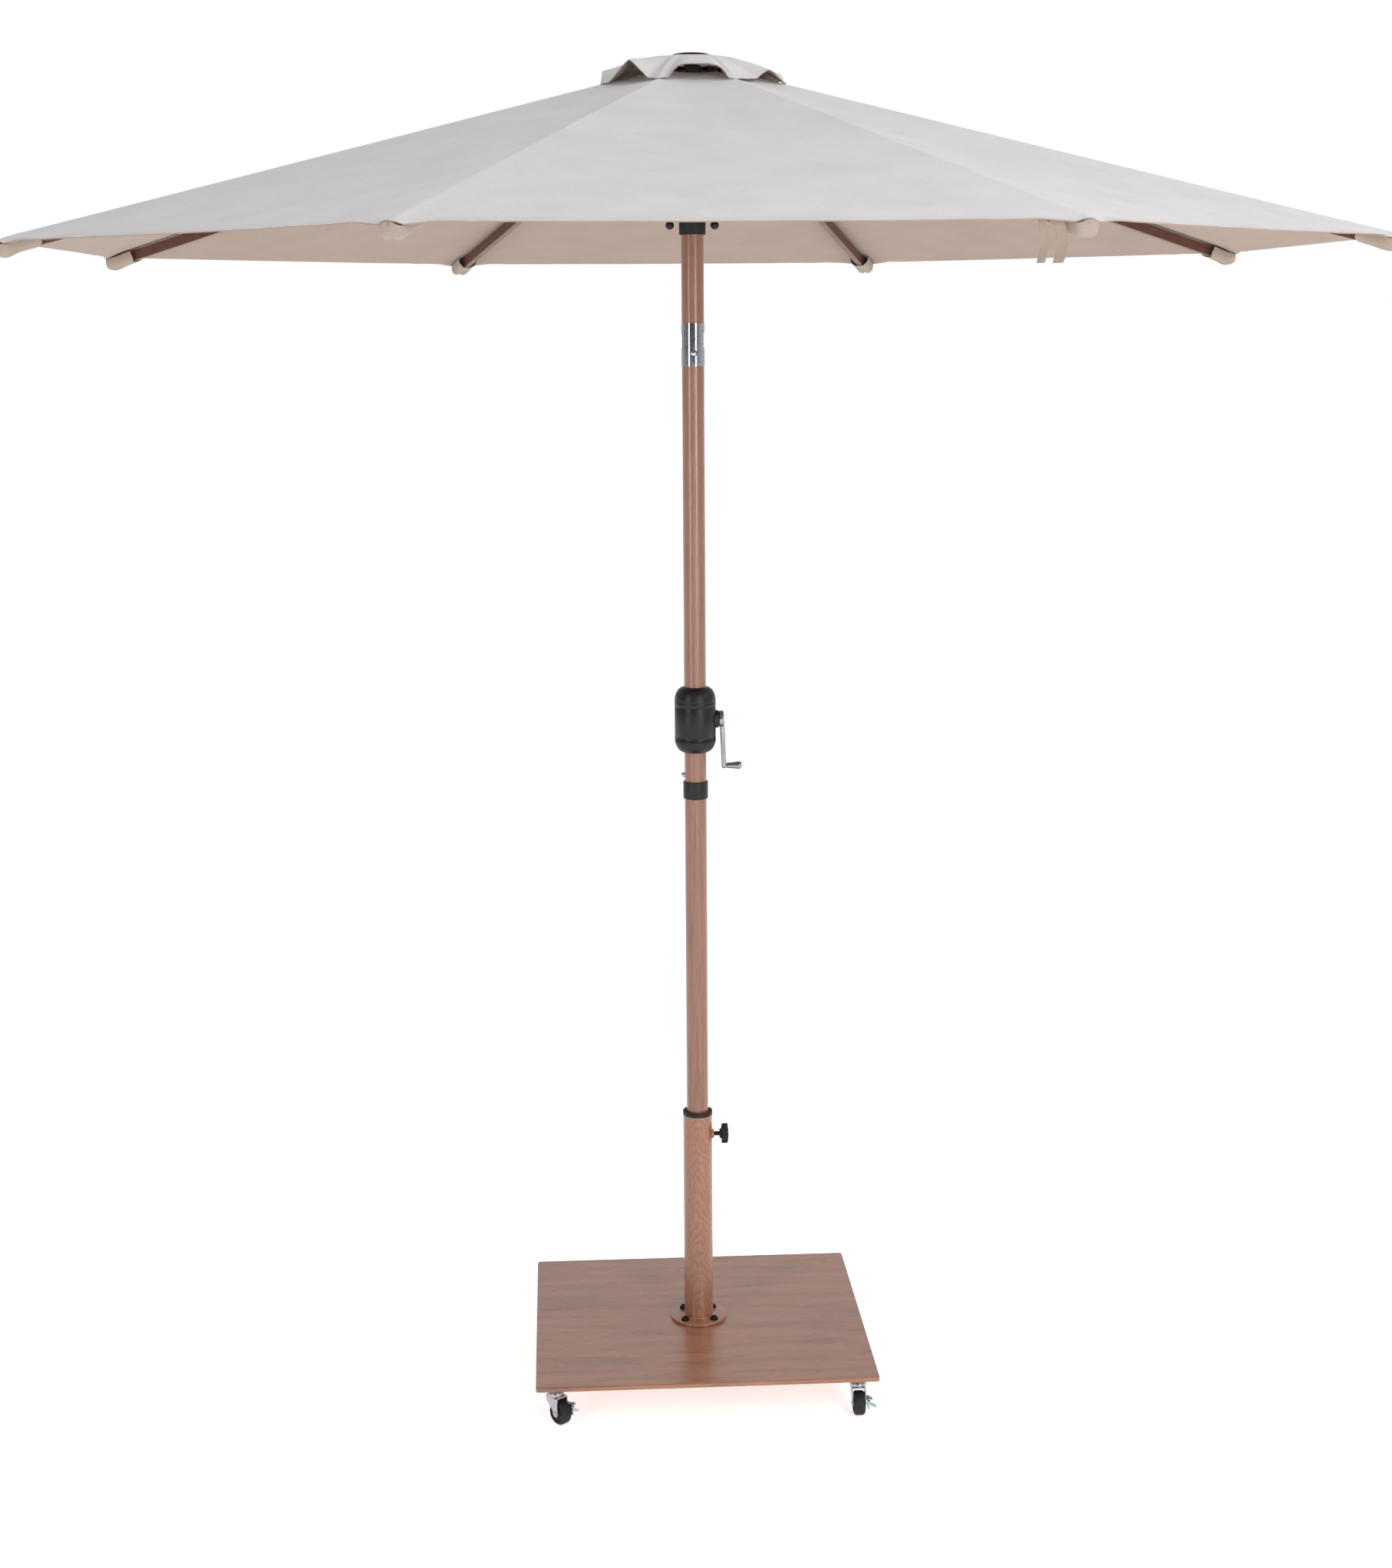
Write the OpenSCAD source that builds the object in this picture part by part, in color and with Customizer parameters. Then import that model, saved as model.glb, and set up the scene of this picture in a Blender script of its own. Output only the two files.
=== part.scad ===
// Patio umbrella with a rolling plate base: crank lift, push-button tilt and eight folding ribs.
// Millimetres, +Z up. The origin is on the floor under the mast, -Y is the front, +X the crank side.

/* [Base plate] */
// Width of the steel plate, left to right
plate_w = 575; // [450:5:750]
// Depth of the steel plate, front to back
plate_d = 530; // [420:5:700]
// Thickness of the steel plate
plate_t = 8; // [6:0.5:14]
// Radius of the plate's corners
plate_corner_r = 6; // [2:1:20]

/* [Casters] */
// Distance of each caster stem from the two plate edges
caster_inset = 33; // [26:1:60]
// Height of the plate's underside above the floor
caster_h = 65; // [63:1:90]
// Wheel diameter
wheel_d = 40; // [32:1:44]
// Wheel width
wheel_w = 19; // [14:1:26]
// Distance of the axle behind the stem
caster_trail = 12; // [8:1:18]
// How far each caster is swivelled: front left, front right, back right, back left
caster_turn = [40, 0, 155, 200]; // [0:5:360]

/* [Base tube] */
// Height of the upright tube above the plate
tube_h = 372; // [300:1:480]
// Wall of the upright tube
tube_wall = 1.8; // [1.2:0.1:3]
// Gap between the pole and the tube's bore
tube_gap = 4.6; // [3:0.1:8]
// Width of the flange outside the tube
flange_rim = 23.6; // [19:0.2:32]
// Thickness of the flange
flange_t = 5; // [3:0.5:8]
// Diameter of the flange screws' heads
screw_head_d = 14; // [10:0.5:16]
// Diameter of the flange screws' shanks
screw_d = 8; // [5:0.5:9]
// Height of the collar ring on top of the tube
ring_h = 7; // [4:0.5:12]
// Depth of the clamp screw below the tube's top
clamp_drop = 37; // [32:1:70]
// Diameter of the clamp screw
clamp_d = 8; // [6:0.5:10]
// Diameter of the clamp knob over its lobes
knob_d = 36; // [28:1:48]
// Thickness of the clamp knob
knob_t = 15.5; // [10:0.5:22]

/* [Mast] */
// Outer diameter of the poles
pole_d = 38; // [31:0.5:46]
// Wall of the poles
pole_wall = 1.5; // [1:0.1:2.5]
// Height at which the lower pole meets the crank pole
joint_z = 1025; // [850:5:1060]
// Length of the lower pole's neck inside the crank pole
neck_l = 75; // [50:1:80]
// Height of the black collar over the joint
collar_h = 30.5; // [20:0.5:40]
// Wall of the black collar
collar_wall = 2.5; // [1.5:0.5:5]
// Height of the snap button above the joint
snap_rise = 26; // [22:1:40]
// Diameter of the snap button
snap_d = 7.6; // [5:0.2:10]

/* [Crank] */
// Height of the crank shaft
crank_z = 1148; // [1130:1:1200]
// Diameter of the crank housing
housing_d = 71; // [64:1:88]
// Height of the crank housing
housing_h = 114; // [90:1:130]
// Wall of the crank housing
housing_wall = 2.5; // [2:0.5:4]
// Diameter of the shaft
shaft_d = 10; // [7:0.5:12]
// Diameter of the boss around the shaft
boss_d = 31; // [22:1:38]
// Diameter of the crank's round end
disc_d = 29; // [20:1:36]
// Thickness of the crank's round end
disc_t = 10.5; // [7:0.5:14]
// Distance between the shaft and the grip
arm_l = 82; // [66:1:98]
// Length of the grip
grip_l = 26; // [20:1:40]
// Diameter of the grip's free end
grip_d = 13.8; // [11:0.2:18]
// Number of crank turns that close the canopy
crank_turns = 10; // [9:1:13]

/* [Tilt joint] */
// Height of the tilt pivot
tilt_z = 1801; // [1700:1:1850]
// Height of the lower knuckle below the pivot
knuckle_below = 46; // [42:1:60]
// Height of the upper knuckle above the pivot
knuckle_above = 26; // [24:1:40]
// Step of the knuckles over the pole's radius
knuckle_step = 0.75; // [0.3:0.05:2]
// Thickness of the tongue between the knuckle's ears
tongue_t = 17; // [14:0.5:20]
// Diameter of the tilt button
tilt_button_d = 12; // [8:0.5:14]

/* [Hub and runner] */
// Height of the rib pivots
hub_z = 2236; // [2100:1:2400]
// Height of the top hub
hub_h = 28; // [26:1:40]
// Rim of the top hub outside the rib pivots
hub_rim = 10; // [7:0.5:16]
// Height of the strut pins in the open runner
runner_pin_z = 2008; // [1960:1:2020]
// Height of the runner's flange
runner_flange_h = 14; // [12:0.5:20]
// Rim of the runner outside the strut pins
runner_rim = 9; // [7:0.5:14]
// Height of the runner's collar below its flange
runner_collar_h = 26; // [18:1:36]
// Diameter of the two stopper beads
bead_d = 14.5; // [10:0.5:15]
// Diameter of the lift cords
cord_d = 2; // [1.5:0.1:2.5]
// Diameter of the finial
finial_d = 63; // [50:1:80]

/* [Ribs and struts] */
// Slope of the open ribs, in degrees
rib_slope = 15; // [12:0.5:20]
// Slope of the closed ribs, in degrees
closed_slope = 86; // [82:0.5:87]
// Width of a rib
rib_w = 12; // [9:0.5:14]
// Height of a rib
rib_h = 18; // [14:0.5:22]
// Wall of the ribs and struts
rib_wall = 1; // [0.8:0.1:1.6]
// Distance of the strut bracket along the rib
bracket_at = 410; // [340:5:495]
// Width of a strut
strut_w = 9; // [7:0.5:10]
// Height of a strut
strut_h = 12; // [9:0.5:14]

/* [Canopy] */
// Distance of the canopy's corners from the mast
canopy_r = 1143; // [950:5:1372]
// Thickness of the canopy's solid
fabric_t = 2; // [1:0.5:4]
// Distance of the vent opening's corners from the mast
vent_r = 95; // [70:1:120]
// Distance of the vent cap's corners from the mast
cap_r = 168; // [135:1:202]
// Slope of the vent cap's skirt, in degrees
cap_slope = 16; // [12:0.5:20]
// Length of the hanging tie strap
strap_l = 55; // [30:5:90]
// Width of the tie strap
strap_w = 16; // [10:1:25]

/* [Hidden] */
$fn = 48;

// Clearances: a turning fit on the radius, and the gap between pieces that slide or swing past
run_clear = 0.05;
gap = 0.5;
// How far a cutting shape passes the face that it opens
cut = 1;

// Heights and radii of the base
plate_top = caster_h + plate_t;
pole_r = pole_d / 2;
pole_bore_r = pole_r - pole_wall;
tube_bore_r = pole_r + tube_gap;
tube_r = tube_bore_r + tube_wall;
tube_top = plate_top + tube_h;
flange_r = tube_r + flange_rim;
screw_circle_r = tube_r + flange_rim * 0.45;
clamp_z = tube_top - clamp_drop;
clamp_boss_t = 3;
clamp_pad_t = 2;
clamp_reach = 10;

// Caster sizes, measured from the floor up
axle_r = 3;
cheek_t = 1.6;
cheek_x = wheel_w / 2 + 0.75;
fork_half_w = cheek_x + cheek_t;
crown_z = wheel_d + 5.5;
crown_t = 2;
race_r = 14;
stem_nut_t = 4.5;
race_top = caster_h - stem_nut_t - gap;
stem_r = 4;
stem_depth = plate_t * 0.75;
brake_pin_z = wheel_d * 0.75;
brake_pin_x = fork_half_w + 2.7;
brake_pin_r = 1.5;
brake_w = 8;
brake_y = -caster_trail - 15;

// The mast's inner pieces
foot_t = 6;
neck_r = pole_bore_r - 0.1;
neck_bore_r = neck_r - pole_wall;
knuckle_r = pole_r + knuckle_step;
ear_r = knuckle_r + 1;
arch_r = ear_r + 0.3;
plug_l = 25;
tongue_r = pole_bore_r * 0.8;
cord_bore_r = 5;
rivet_r = 3;
button_bore_depth = 12;
tilt_button_z = tilt_z - 24.5;

// The fold: each rib turns in the hub, its strut hangs on it and ends at the runner
strut_clear = 3;
eye_r = rib_h / 2;
bracket_drop = rib_h / 2 + strut_clear + strut_h / 2;
pin_r = 3;
hub_core_r = pole_r + 10.5;
hub_pivot_r = hub_core_r + 1.5 + eye_r;
runner_bore_r = knuckle_r + gap + 0.25;
runner_collar_r = runner_bore_r + 2;
runner_slot_r = runner_collar_r + 6;
runner_pin_r = runner_slot_r + 1.5 + strut_h / 2;
function bracket_r(slope) = hub_pivot_r + bracket_at * cos(slope) - bracket_drop * sin(slope);
function bracket_z(slope) = hub_z - bracket_at * sin(slope) - bracket_drop * cos(slope);
strut_l = norm([bracket_r(rib_slope) - runner_pin_r, bracket_z(rib_slope) - runner_pin_z]);
strut_slope = atan2(bracket_z(rib_slope) - runner_pin_z, bracket_r(rib_slope) - runner_pin_r);
closed_strut_slope = acos((bracket_r(closed_slope) - runner_pin_r) / strut_l);
closed_pin_z = bracket_z(closed_slope) - strut_l * sin(closed_strut_slope);
runner_travel = runner_pin_z - closed_pin_z;
runner_bottom = runner_pin_z - runner_flange_h / 2;
stub_reach = 1.7;
bead_x = runner_pin_r + 2;

// The drum takes up the runner's travel in whole turns of the crank
drum_r = runner_travel / (crank_turns * 2 * PI);
drum_w = 16;
drum_rim = 2.5;
drum_rim_t = 2;
boss_end = housing_d / 2 + 4.3;
disc_x = boss_end + 0.3;
arm_x = disc_x + 2;
arm_t = 8;
grip_lean = 3;
grip_x = arm_x + grip_lean + arm_t + gap;
grip_z = crank_z - arm_l;
grip_pin_r = 2.5;
dome_h = 24;

// The lift cords run over two sheaves in the hub
pulley_groove_r = 12;
pulley_rim_r = pulley_groove_r + 1.8;
pulley_w = 6;
pulley_x = bead_x - pulley_groove_r;
pulley_axle_r = 2;
pulley_slot_w = 7.4;
cord_spread = 2;

// The canopy's gores are flat between two ribs, on top of the ribs
sides = 8;
half_gore = 180 / sides;
rib_tip_gap = 8;
rib_l = (canopy_r - rib_tip_gap - hub_pivot_r) / cos(rib_slope);
fabric_gap = 1.4;
ridge_z = hub_z + hub_pivot_r * tan(rib_slope) + rib_h / 2 / cos(rib_slope) + fabric_gap;
hub_top = hub_z + hub_h / 2;
// The sheaves sit low enough to clear the hub's roof
pulley_z = hub_top - 2 - pulley_rim_r - 1.2;
cap_flat_r = 60;
cap_clear = 20;
cap_edge_z = ridge_z + fabric_t - cap_r * tan(rib_slope) + cap_clear;
cap_flat_z = cap_edge_z + (cap_r - cap_flat_r) * tan(cap_slope);
finial_stem_r = 12;
finial_base_z = cap_flat_z + fabric_t + gap;
finial_h = 8;
strap_t = 1.5;
strap_from_corner = 50;
strap_set_in = 10;

function azimuth(i) = half_gore + (i - 1) * 360 / sides;
function caster_x(k) = (k == 1 || k == 4 ? -1 : 1) * (plate_w / 2 - caster_inset);
function caster_y(k) = (k <= 2 ? -1 : 1) * (plate_d / 2 - caster_inset);

// ---- helpers ----

module ring(r_out, r_in, h) {
    difference() {
        cylinder(r = r_out, h = h);
        translate([0, 0, -cut]) cylinder(r = r_in, h = h + 2 * cut);
    }
}

// A cylinder along +X from x, or along +Y from y, with its axis at the given height
module rod_x(x, z, r, l) {
    translate([x, 0, z]) rotate([0, 90, 0]) cylinder(r = r, h = l);
}

module rod_y(y, z, r, l) {
    translate([0, y, z]) rotate([-90, 0, 0]) cylinder(r = r, h = l);
}

// A straight stretch of cord between two points
module cord_run(from, to) {
    run = to - from;
    translate(from)
        rotate([0, acos(run[2] / norm(run)), atan2(run[1], run[0])])
            cylinder(d = cord_d, h = norm(run), $fn = 16);
}

module centred_box(x0, x1, w, z0, z1) {
    translate([x0, -w / 2, z0]) cube([x1 - x0, w, z1 - z0]);
}

module at_screws() {
    for (a = [45 : 90 : 315]) rotate([0, 0, a]) translate([screw_circle_r, 0, 0]) children();
}

module at_caster(k) {
    translate([caster_x(k), caster_y(k), 0]) rotate([0, 0, caster_turn[k - 1]]) children();
}

module at_rib(i) {
    rotate([0, 0, azimuth(i)]) translate([hub_pivot_r, 0, hub_z]) rotate([0, rib_slope, 0]) children();
}

// ---- base ----

module base_plate() {
    core_w = plate_w - 2 * plate_corner_r;
    core_d = plate_d - 2 * plate_corner_r;
    color("rosybrown") difference() {
        translate([0, 0, caster_h]) union() {
            translate([-plate_w / 2, -core_d / 2, 0]) cube([plate_w, core_d, plate_t]);
            translate([-core_w / 2, -plate_d / 2, 0]) cube([core_w, plate_d, plate_t]);
            for (x = [-1, 1], y = [-1, 1])
                translate([x * core_w / 2, y * core_d / 2, 0]) cylinder(r = plate_corner_r, h = plate_t);
        }
        at_screws() translate([0, 0, caster_h - cut]) cylinder(d = screw_d + 0.2, h = plate_t + 2 * cut);
        for (k = [1 : 4])
            translate([caster_x(k), caster_y(k), caster_h - cut]) cylinder(r = stem_r + 0.1, h = stem_depth + cut);
    }
}

module base_tube() {
    color("rosybrown") difference() {
        union() {
            translate([0, 0, plate_top]) cylinder(r = tube_r, h = tube_h);
            translate([0, 0, plate_top]) cylinder(r = flange_r, h = flange_t);
            rod_x(tube_bore_r + tube_wall / 2, clamp_z, clamp_d, tube_wall / 2 + clamp_boss_t);
        }
        translate([0, 0, plate_top - cut]) cylinder(r = tube_bore_r, h = tube_h + 2 * cut);
        at_screws() translate([0, 0, plate_top - cut]) cylinder(d = screw_d + 0.2, h = flange_t + 2 * cut);
        rod_x(pole_r, clamp_z, clamp_d / 2 + run_clear, tube_gap + tube_wall + clamp_boss_t + cut);
    }
}

module flange_screws() {
    seat = plate_top + flange_t;
    color("black") at_screws() {
        translate([0, 0, caster_h + cut]) cylinder(d = screw_d, h = seat - caster_h - cut);
        translate([0, 0, seat]) cylinder(d = screw_head_d, h = 4);
        translate([0, 0, seat + 4]) cylinder(d1 = screw_head_d, d2 = screw_head_d * 0.6, h = 1.5);
    }
}

// A ring that caps the tube and lines its mouth
module tube_collar() {
    lining = 20;
    color("black") difference() {
        union() {
            translate([0, 0, tube_top]) cylinder(r = tube_r + 0.6, h = ring_h);
            translate([0, 0, tube_top - lining]) cylinder(r = tube_bore_r, h = lining + cut);
        }
        translate([0, 0, tube_top - lining - cut])
            cylinder(r = pole_r + 2 * run_clear, h = lining + ring_h + 2 * cut);
    }
}

module caster_stems() {
    color("silver") for (k = [1 : 4]) translate([caster_x(k), caster_y(k), 0]) {
        translate([0, 0, crown_z - 2]) cylinder(r = 6.5, h = 1.7);
        translate([0, 0, crown_z - 0.5]) cylinder(r = stem_r, h = caster_h + stem_depth - crown_z + 0.5);
        translate([0, 0, race_top + gap]) cylinder(r = 6.4, h = stem_nut_t, $fn = 6);
    }
}

module caster_fork(k) {
    cheek = [
        [-caster_trail - 4, crown_z + crown_t], [race_r - 2, crown_z + crown_t], [race_r - 2, crown_z - 3],
        [-caster_trail + 2 * axle_r, wheel_d / 2], [-caster_trail - 2 * axle_r, wheel_d / 2]
    ];
    color("silver") at_caster(k) difference() {
        union() {
            for (x = [-fork_half_w, cheek_x]) translate([x, 0, 0]) {
                rotate([90, 0, 90]) linear_extrude(cheek_t) polygon(cheek);
                translate([0, -caster_trail, 0]) rod_x(0, wheel_d / 2, 2 * axle_r, cheek_t);
            }
            translate([-fork_half_w, -caster_trail - 4, crown_z])
                cube([2 * fork_half_w, race_r - 2 + caster_trail + 4, crown_t]);
            translate([0, 0, crown_z]) cylinder(r = race_r, h = 5);
            translate([0, 0, crown_z + 5]) cylinder(r1 = race_r, r2 = race_r - 4, h = race_top - crown_z - 5);
            translate([0, -caster_trail, 0]) rod_x(-fork_half_w - 1, wheel_d / 2, axle_r, 2 * fork_half_w + 2);
            if (k <= 2) caster_brake_lug();
        }
        translate([0, 0, crown_z - cut]) cylinder(r = stem_r + run_clear, h = race_top - crown_z + 2 * cut);
    }
}

// The lug and pin on the fork that the brake lever turns on
module caster_brake_lug() {
    lug_y = brake_y + brake_w + gap;
    translate([cheek_x, lug_y, brake_pin_z - 3]) cube([brake_pin_x - cheek_x + 2, -caster_trail - lug_y, 6]);
    translate([brake_pin_x, brake_y - gap, brake_pin_z])
        rotate([-90, 0, 0]) cylinder(r = brake_pin_r, h = brake_w + 3 * gap);
}

module caster_wheel(k) {
    edge = 3;
    color("black") at_caster(k) translate([-wheel_w / 2, -caster_trail, wheel_d / 2]) rotate([0, 90, 0])
        difference() {
            union() {
                cylinder(r1 = wheel_d / 2 - edge, r2 = wheel_d / 2, h = edge);
                translate([0, 0, edge]) cylinder(d = wheel_d, h = wheel_w - 2 * edge);
                translate([0, 0, wheel_w - edge])
                    cylinder(r1 = wheel_d / 2, r2 = wheel_d / 2 - edge, h = edge);
            }
            translate([0, 0, -cut]) cylinder(r = axle_r + run_clear, h = wheel_w + 2 * cut);
            for (z = [-cut, wheel_w - 2]) translate([0, 0, z]) difference() {
                cylinder(r = wheel_d / 2 - 6, h = 2 + cut);
                cylinder(r = axle_r + 3, h = 2 + cut);
            }
        }
}

// A pressed lever: a shoe beside the wheel, an upper tab and a pointed foot pedal
module caster_brake(k) {
    shoe = [[-1.6, 0], [1, 0], [1.2, -8], [12, -13], [13, -11], [4, -6], [2.6, 0], [7, 1], [6.6, 3], [0, 3.2]];
    leg = [[-1.6, 1], [1.2, 1], [1.2, -16], [-1.6, -15]];
    color("lightsteelblue") at_caster(k) translate([brake_pin_x, brake_y, brake_pin_z]) difference() {
        union() {
            rotate([90, 0, 0]) translate([0, 0, -brake_w]) linear_extrude(brake_w) polygon(shoe);
            rotate([90, 0, 0]) translate([0, 0, -brake_w]) linear_extrude(brake_w) polygon(leg);
            rotate([-90, 0, 0]) cylinder(r = 2.8, h = brake_w);
        }
        translate([0, -cut, 0])
            rotate([-90, 0, 0]) cylinder(r = brake_pin_r + run_clear, h = brake_w + 2 * cut);
    }
}

// The pad that the clamp screw pushes against the pole
module clamp_pad() {
    color("dimgray") rod_x(pole_r + 0.3, clamp_z, clamp_d / 2 - 0.2, clamp_pad_t);
}

module clamp_knob() {
    x0 = pole_r + 0.3 + clamp_pad_t;
    knob_x = tube_r + clamp_boss_t + clamp_reach;
    lobe_r = knob_d * 0.16;
    color("black") {
        rod_x(x0, clamp_z, clamp_d / 2, knob_x + cut - x0);
        rod_x(knob_x, clamp_z, knob_d * 0.22, knob_t);
        rod_x(knob_x + 3, clamp_z, knob_d / 2 - lobe_r, knob_t - 3);
        for (a = [0 : 60 : 300]) translate([knob_x + 3, 0, clamp_z]) rotate([a, 0, 0])
            translate([0, 0, knob_d / 2 - lobe_r]) rotate([0, 90, 0]) cylinder(r = lobe_r, h = knob_t - 3);
    }
}

// ---- mast below the tilt joint ----

module lower_pole() {
    foot_z = plate_top + foot_t;
    color("rosybrown") difference() {
        union() {
            translate([0, 0, foot_z]) cylinder(r = pole_r, h = joint_z - foot_z);
            translate([0, 0, joint_z - cut]) cylinder(r = neck_r, h = neck_l + cut);
        }
        translate([0, 0, foot_z - cut]) cylinder(r = pole_bore_r, h = joint_z - foot_z - 3);
        translate([0, 0, foot_z]) cylinder(r = neck_bore_r, h = joint_z - foot_z + neck_l + cut);
        rod_x(-pole_r, joint_z + snap_rise, snap_d / 2 + 0.1, pole_r);
    }
}

module pole_foot() {
    color("black") translate([0, 0, plate_top + gap]) {
        cylinder(r = pole_r, h = foot_t - gap);
        cylinder(r = pole_bore_r, h = foot_t + 15);
    }
}

module pole_collar() {
    color("black") translate([0, 0, joint_z - collar_h / 2]) ring(pole_r + collar_wall, pole_r, collar_h);
}

module crank_pole() {
    window_r = drum_r + drum_rim + 1;
    color("rosybrown") difference() {
        translate([0, 0, joint_z]) cylinder(r = pole_r, h = tilt_z - knuckle_below - joint_z);
        translate([0, 0, joint_z - cut])
            cylinder(r = pole_bore_r, h = tilt_z - knuckle_below - joint_z + 2 * cut);
        rod_x(-pole_r - cut, joint_z + snap_rise, snap_d / 2 + 0.1, pole_r);
        rod_x(0, crank_z, window_r, pole_r + cut);
        rod_x(-pole_r - cut, crank_z, shaft_d / 2 + run_clear, pole_r);
    }
}

// A round-headed button that springs out through both tubes
module snap_button() {
    head_x = -pole_r - 2.5;
    color("silver") {
        rod_x(head_x, joint_z + snap_rise, snap_d / 2, pole_r / 2);
        translate([head_x, 0, joint_z + snap_rise]) sphere(d = snap_d);
    }
}

// The housing is a barrel with domed ends around the pole, split front and back
module housing_half(side) {
    r = housing_d / 2;
    bottom = crank_z - housing_h / 2;
    straight = housing_h - 2 * dome_h;
    dome_r = r - pole_r - 0.2;
    end_wall = 6;
    color("black") difference() {
        union() {
            translate([0, 0, bottom + dome_h]) cylinder(r = r, h = straight);
            for (end = [0, 1]) translate([0, 0, end ? bottom + housing_h : bottom]) mirror([0, 0, end])
                rotate_extrude() polygon([
                    [0, 0], for (a = [0 : 9 : 90]) [r - dome_r * (1 - sin(a)), dome_h * (1 - cos(a))],
                    [0, dome_h]
                ]);
            rod_x(0, crank_z, boss_d / 2, boss_end);
        }
        translate([0, 0, bottom - cut]) cylinder(r = pole_r, h = housing_h + 2 * cut);
        translate([0, 0, bottom + dome_h]) cylinder(r = r - housing_wall, h = straight);
        translate([0, 0, bottom + end_wall]) cylinder(r = pole_r + dome_r / 2, h = housing_h - 2 * end_wall);
        rod_x(0, crank_z, shaft_d / 2 + run_clear, boss_end + cut);
        translate([-2 * r, side > 0 ? -4 * r : 0, bottom - cut]) cube([4 * r, 4 * r, housing_h + 2 * cut]);
        for (z = [0.18, 0.24, 0.72, 0.78]) translate([0, 0, bottom + z * housing_h - 0.6])
            difference() {
                cylinder(r = r + cut, h = 1.2);
                cylinder(r = r - 0.5, h = 1.2);
            }
    }
}

module housing_front() {
    housing_half(-1);
}

module housing_back() {
    housing_half(1);
}

// Two rounded ears with a slot between them, on a plug in the crank pole
module tilt_lower_knuckle() {
    slot_w = tongue_t + 0.6;
    slot_floor = tilt_z - tongue_r - 2;
    color("silver") difference() {
        union() {
            translate([0, 0, tilt_z - knuckle_below]) cylinder(r = knuckle_r, h = knuckle_below);
            intersection() {
                translate([0, 0, tilt_z]) cylinder(r = knuckle_r, h = ear_r);
                rod_y(-knuckle_r, tilt_z, ear_r, 2 * knuckle_r);
            }
            translate([0, 0, tilt_z - knuckle_below - plug_l]) cylinder(r = pole_bore_r, h = plug_l + cut);
        }
        translate([-ear_r, -slot_w / 2, slot_floor]) cube([2 * ear_r, slot_w, 2 * ear_r + tongue_r]);
        translate([0, 0, tilt_z - knuckle_below - plug_l - cut]) cylinder(r = cord_bore_r, h = 2 * knuckle_below);
        rod_y(-knuckle_r - cut, tilt_z, rivet_r, 2 * knuckle_r + 2 * cut);
        rod_y(-knuckle_r - cut, tilt_button_z, tilt_button_d / 2 + run_clear, button_bore_depth + cut);
        rod_y(-knuckle_r - cut, tilt_z - knuckle_below + 6, 2, 6);
    }
}

// A short rivet in each ear, with heads thin enough for the runner to pass, and the set screw
module tilt_rivets() {
    head_t = 0.35;
    reach = knuckle_r - cord_bore_r - cut;
    color("silver") {
        rod_y(-knuckle_r, tilt_z, rivet_r, reach);
        rod_y(knuckle_r - reach, tilt_z, rivet_r, reach);
        for (y = [-knuckle_r - head_t, knuckle_r]) rod_y(y, tilt_z, rivet_r + 0.6, head_t);
        rod_y(-knuckle_r - 0.2, tilt_z - knuckle_below + 6, 2, 5);
    }
}

// The button sits in its bore, so that the runner slides over it
module tilt_button() {
    stem_y = -knuckle_r - 0.5 + 0.3 * tilt_button_d;
    color("silver") {
        rod_y(stem_y, tilt_button_z, tilt_button_d / 2, 5.5);
        translate([0, stem_y, tilt_button_z]) rotate([90, 0, 0]) rotate_extrude() difference() {
            scale([1, 0.6]) circle(d = tilt_button_d);
            translate([-tilt_button_d, -tilt_button_d]) square([tilt_button_d, 2 * tilt_button_d]);
            translate([0, -tilt_button_d]) square([tilt_button_d, tilt_button_d]);
        }
    }
}

// The cord drum on its shaft, which runs in the pole's far wall and in the housing's boss
module crank_spool() {
    shaft_x = -pole_r - 3;
    color("silver") {
        rod_x(shaft_x, crank_z, shaft_d / 2, disc_x - shaft_x);
        rod_x(-drum_w / 2, crank_z, drum_r, drum_w);
        for (x = [-drum_w / 2 - drum_rim_t, drum_w / 2]) rod_x(x, crank_z, drum_r + drum_rim, drum_rim_t);
    }
}

module crank_arm() {
    color("silver") {
        rod_x(disc_x, crank_z, disc_d / 2, disc_t - 2);
        translate([disc_x + disc_t - 2, 0, crank_z])
            rotate([0, 90, 0]) cylinder(d1 = disc_d, d2 = disc_d - 5, h = 2);
        hull() {
            rod_x(arm_x, crank_z, 7, arm_t, $fn = 24);
            rod_x(arm_x + grip_lean, grip_z, 5, arm_t, $fn = 24);
        }
        rod_x(arm_x + grip_lean + cut, grip_z, grip_pin_r, grip_x + grip_l - arm_x - grip_lean - cut);
        rod_x(grip_x + grip_l - 2.5, grip_z, grip_pin_r + 1.3, 2.5);
    }
}

// The grip turns on the arm's pin and widens towards its free end
module crank_grip() {
    color("silver") translate([grip_x, 0, grip_z]) rotate([0, 90, 0]) difference() {
        union() {
            cylinder(d1 = grip_d - 4, d2 = grip_d, h = grip_l - 4);
            translate([0, 0, grip_l - 4]) cylinder(d1 = grip_d, d2 = grip_d - 2.5, h = 4);
        }
        translate([0, 0, -cut]) cylinder(r = grip_pin_r + run_clear, h = grip_l + 2 * cut);
        translate([0, 0, grip_l - 3]) cylinder(r = grip_pin_r + 1.3 + run_clear, h = 3 + cut);
    }
}

// ---- mast above the tilt joint ----

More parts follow.
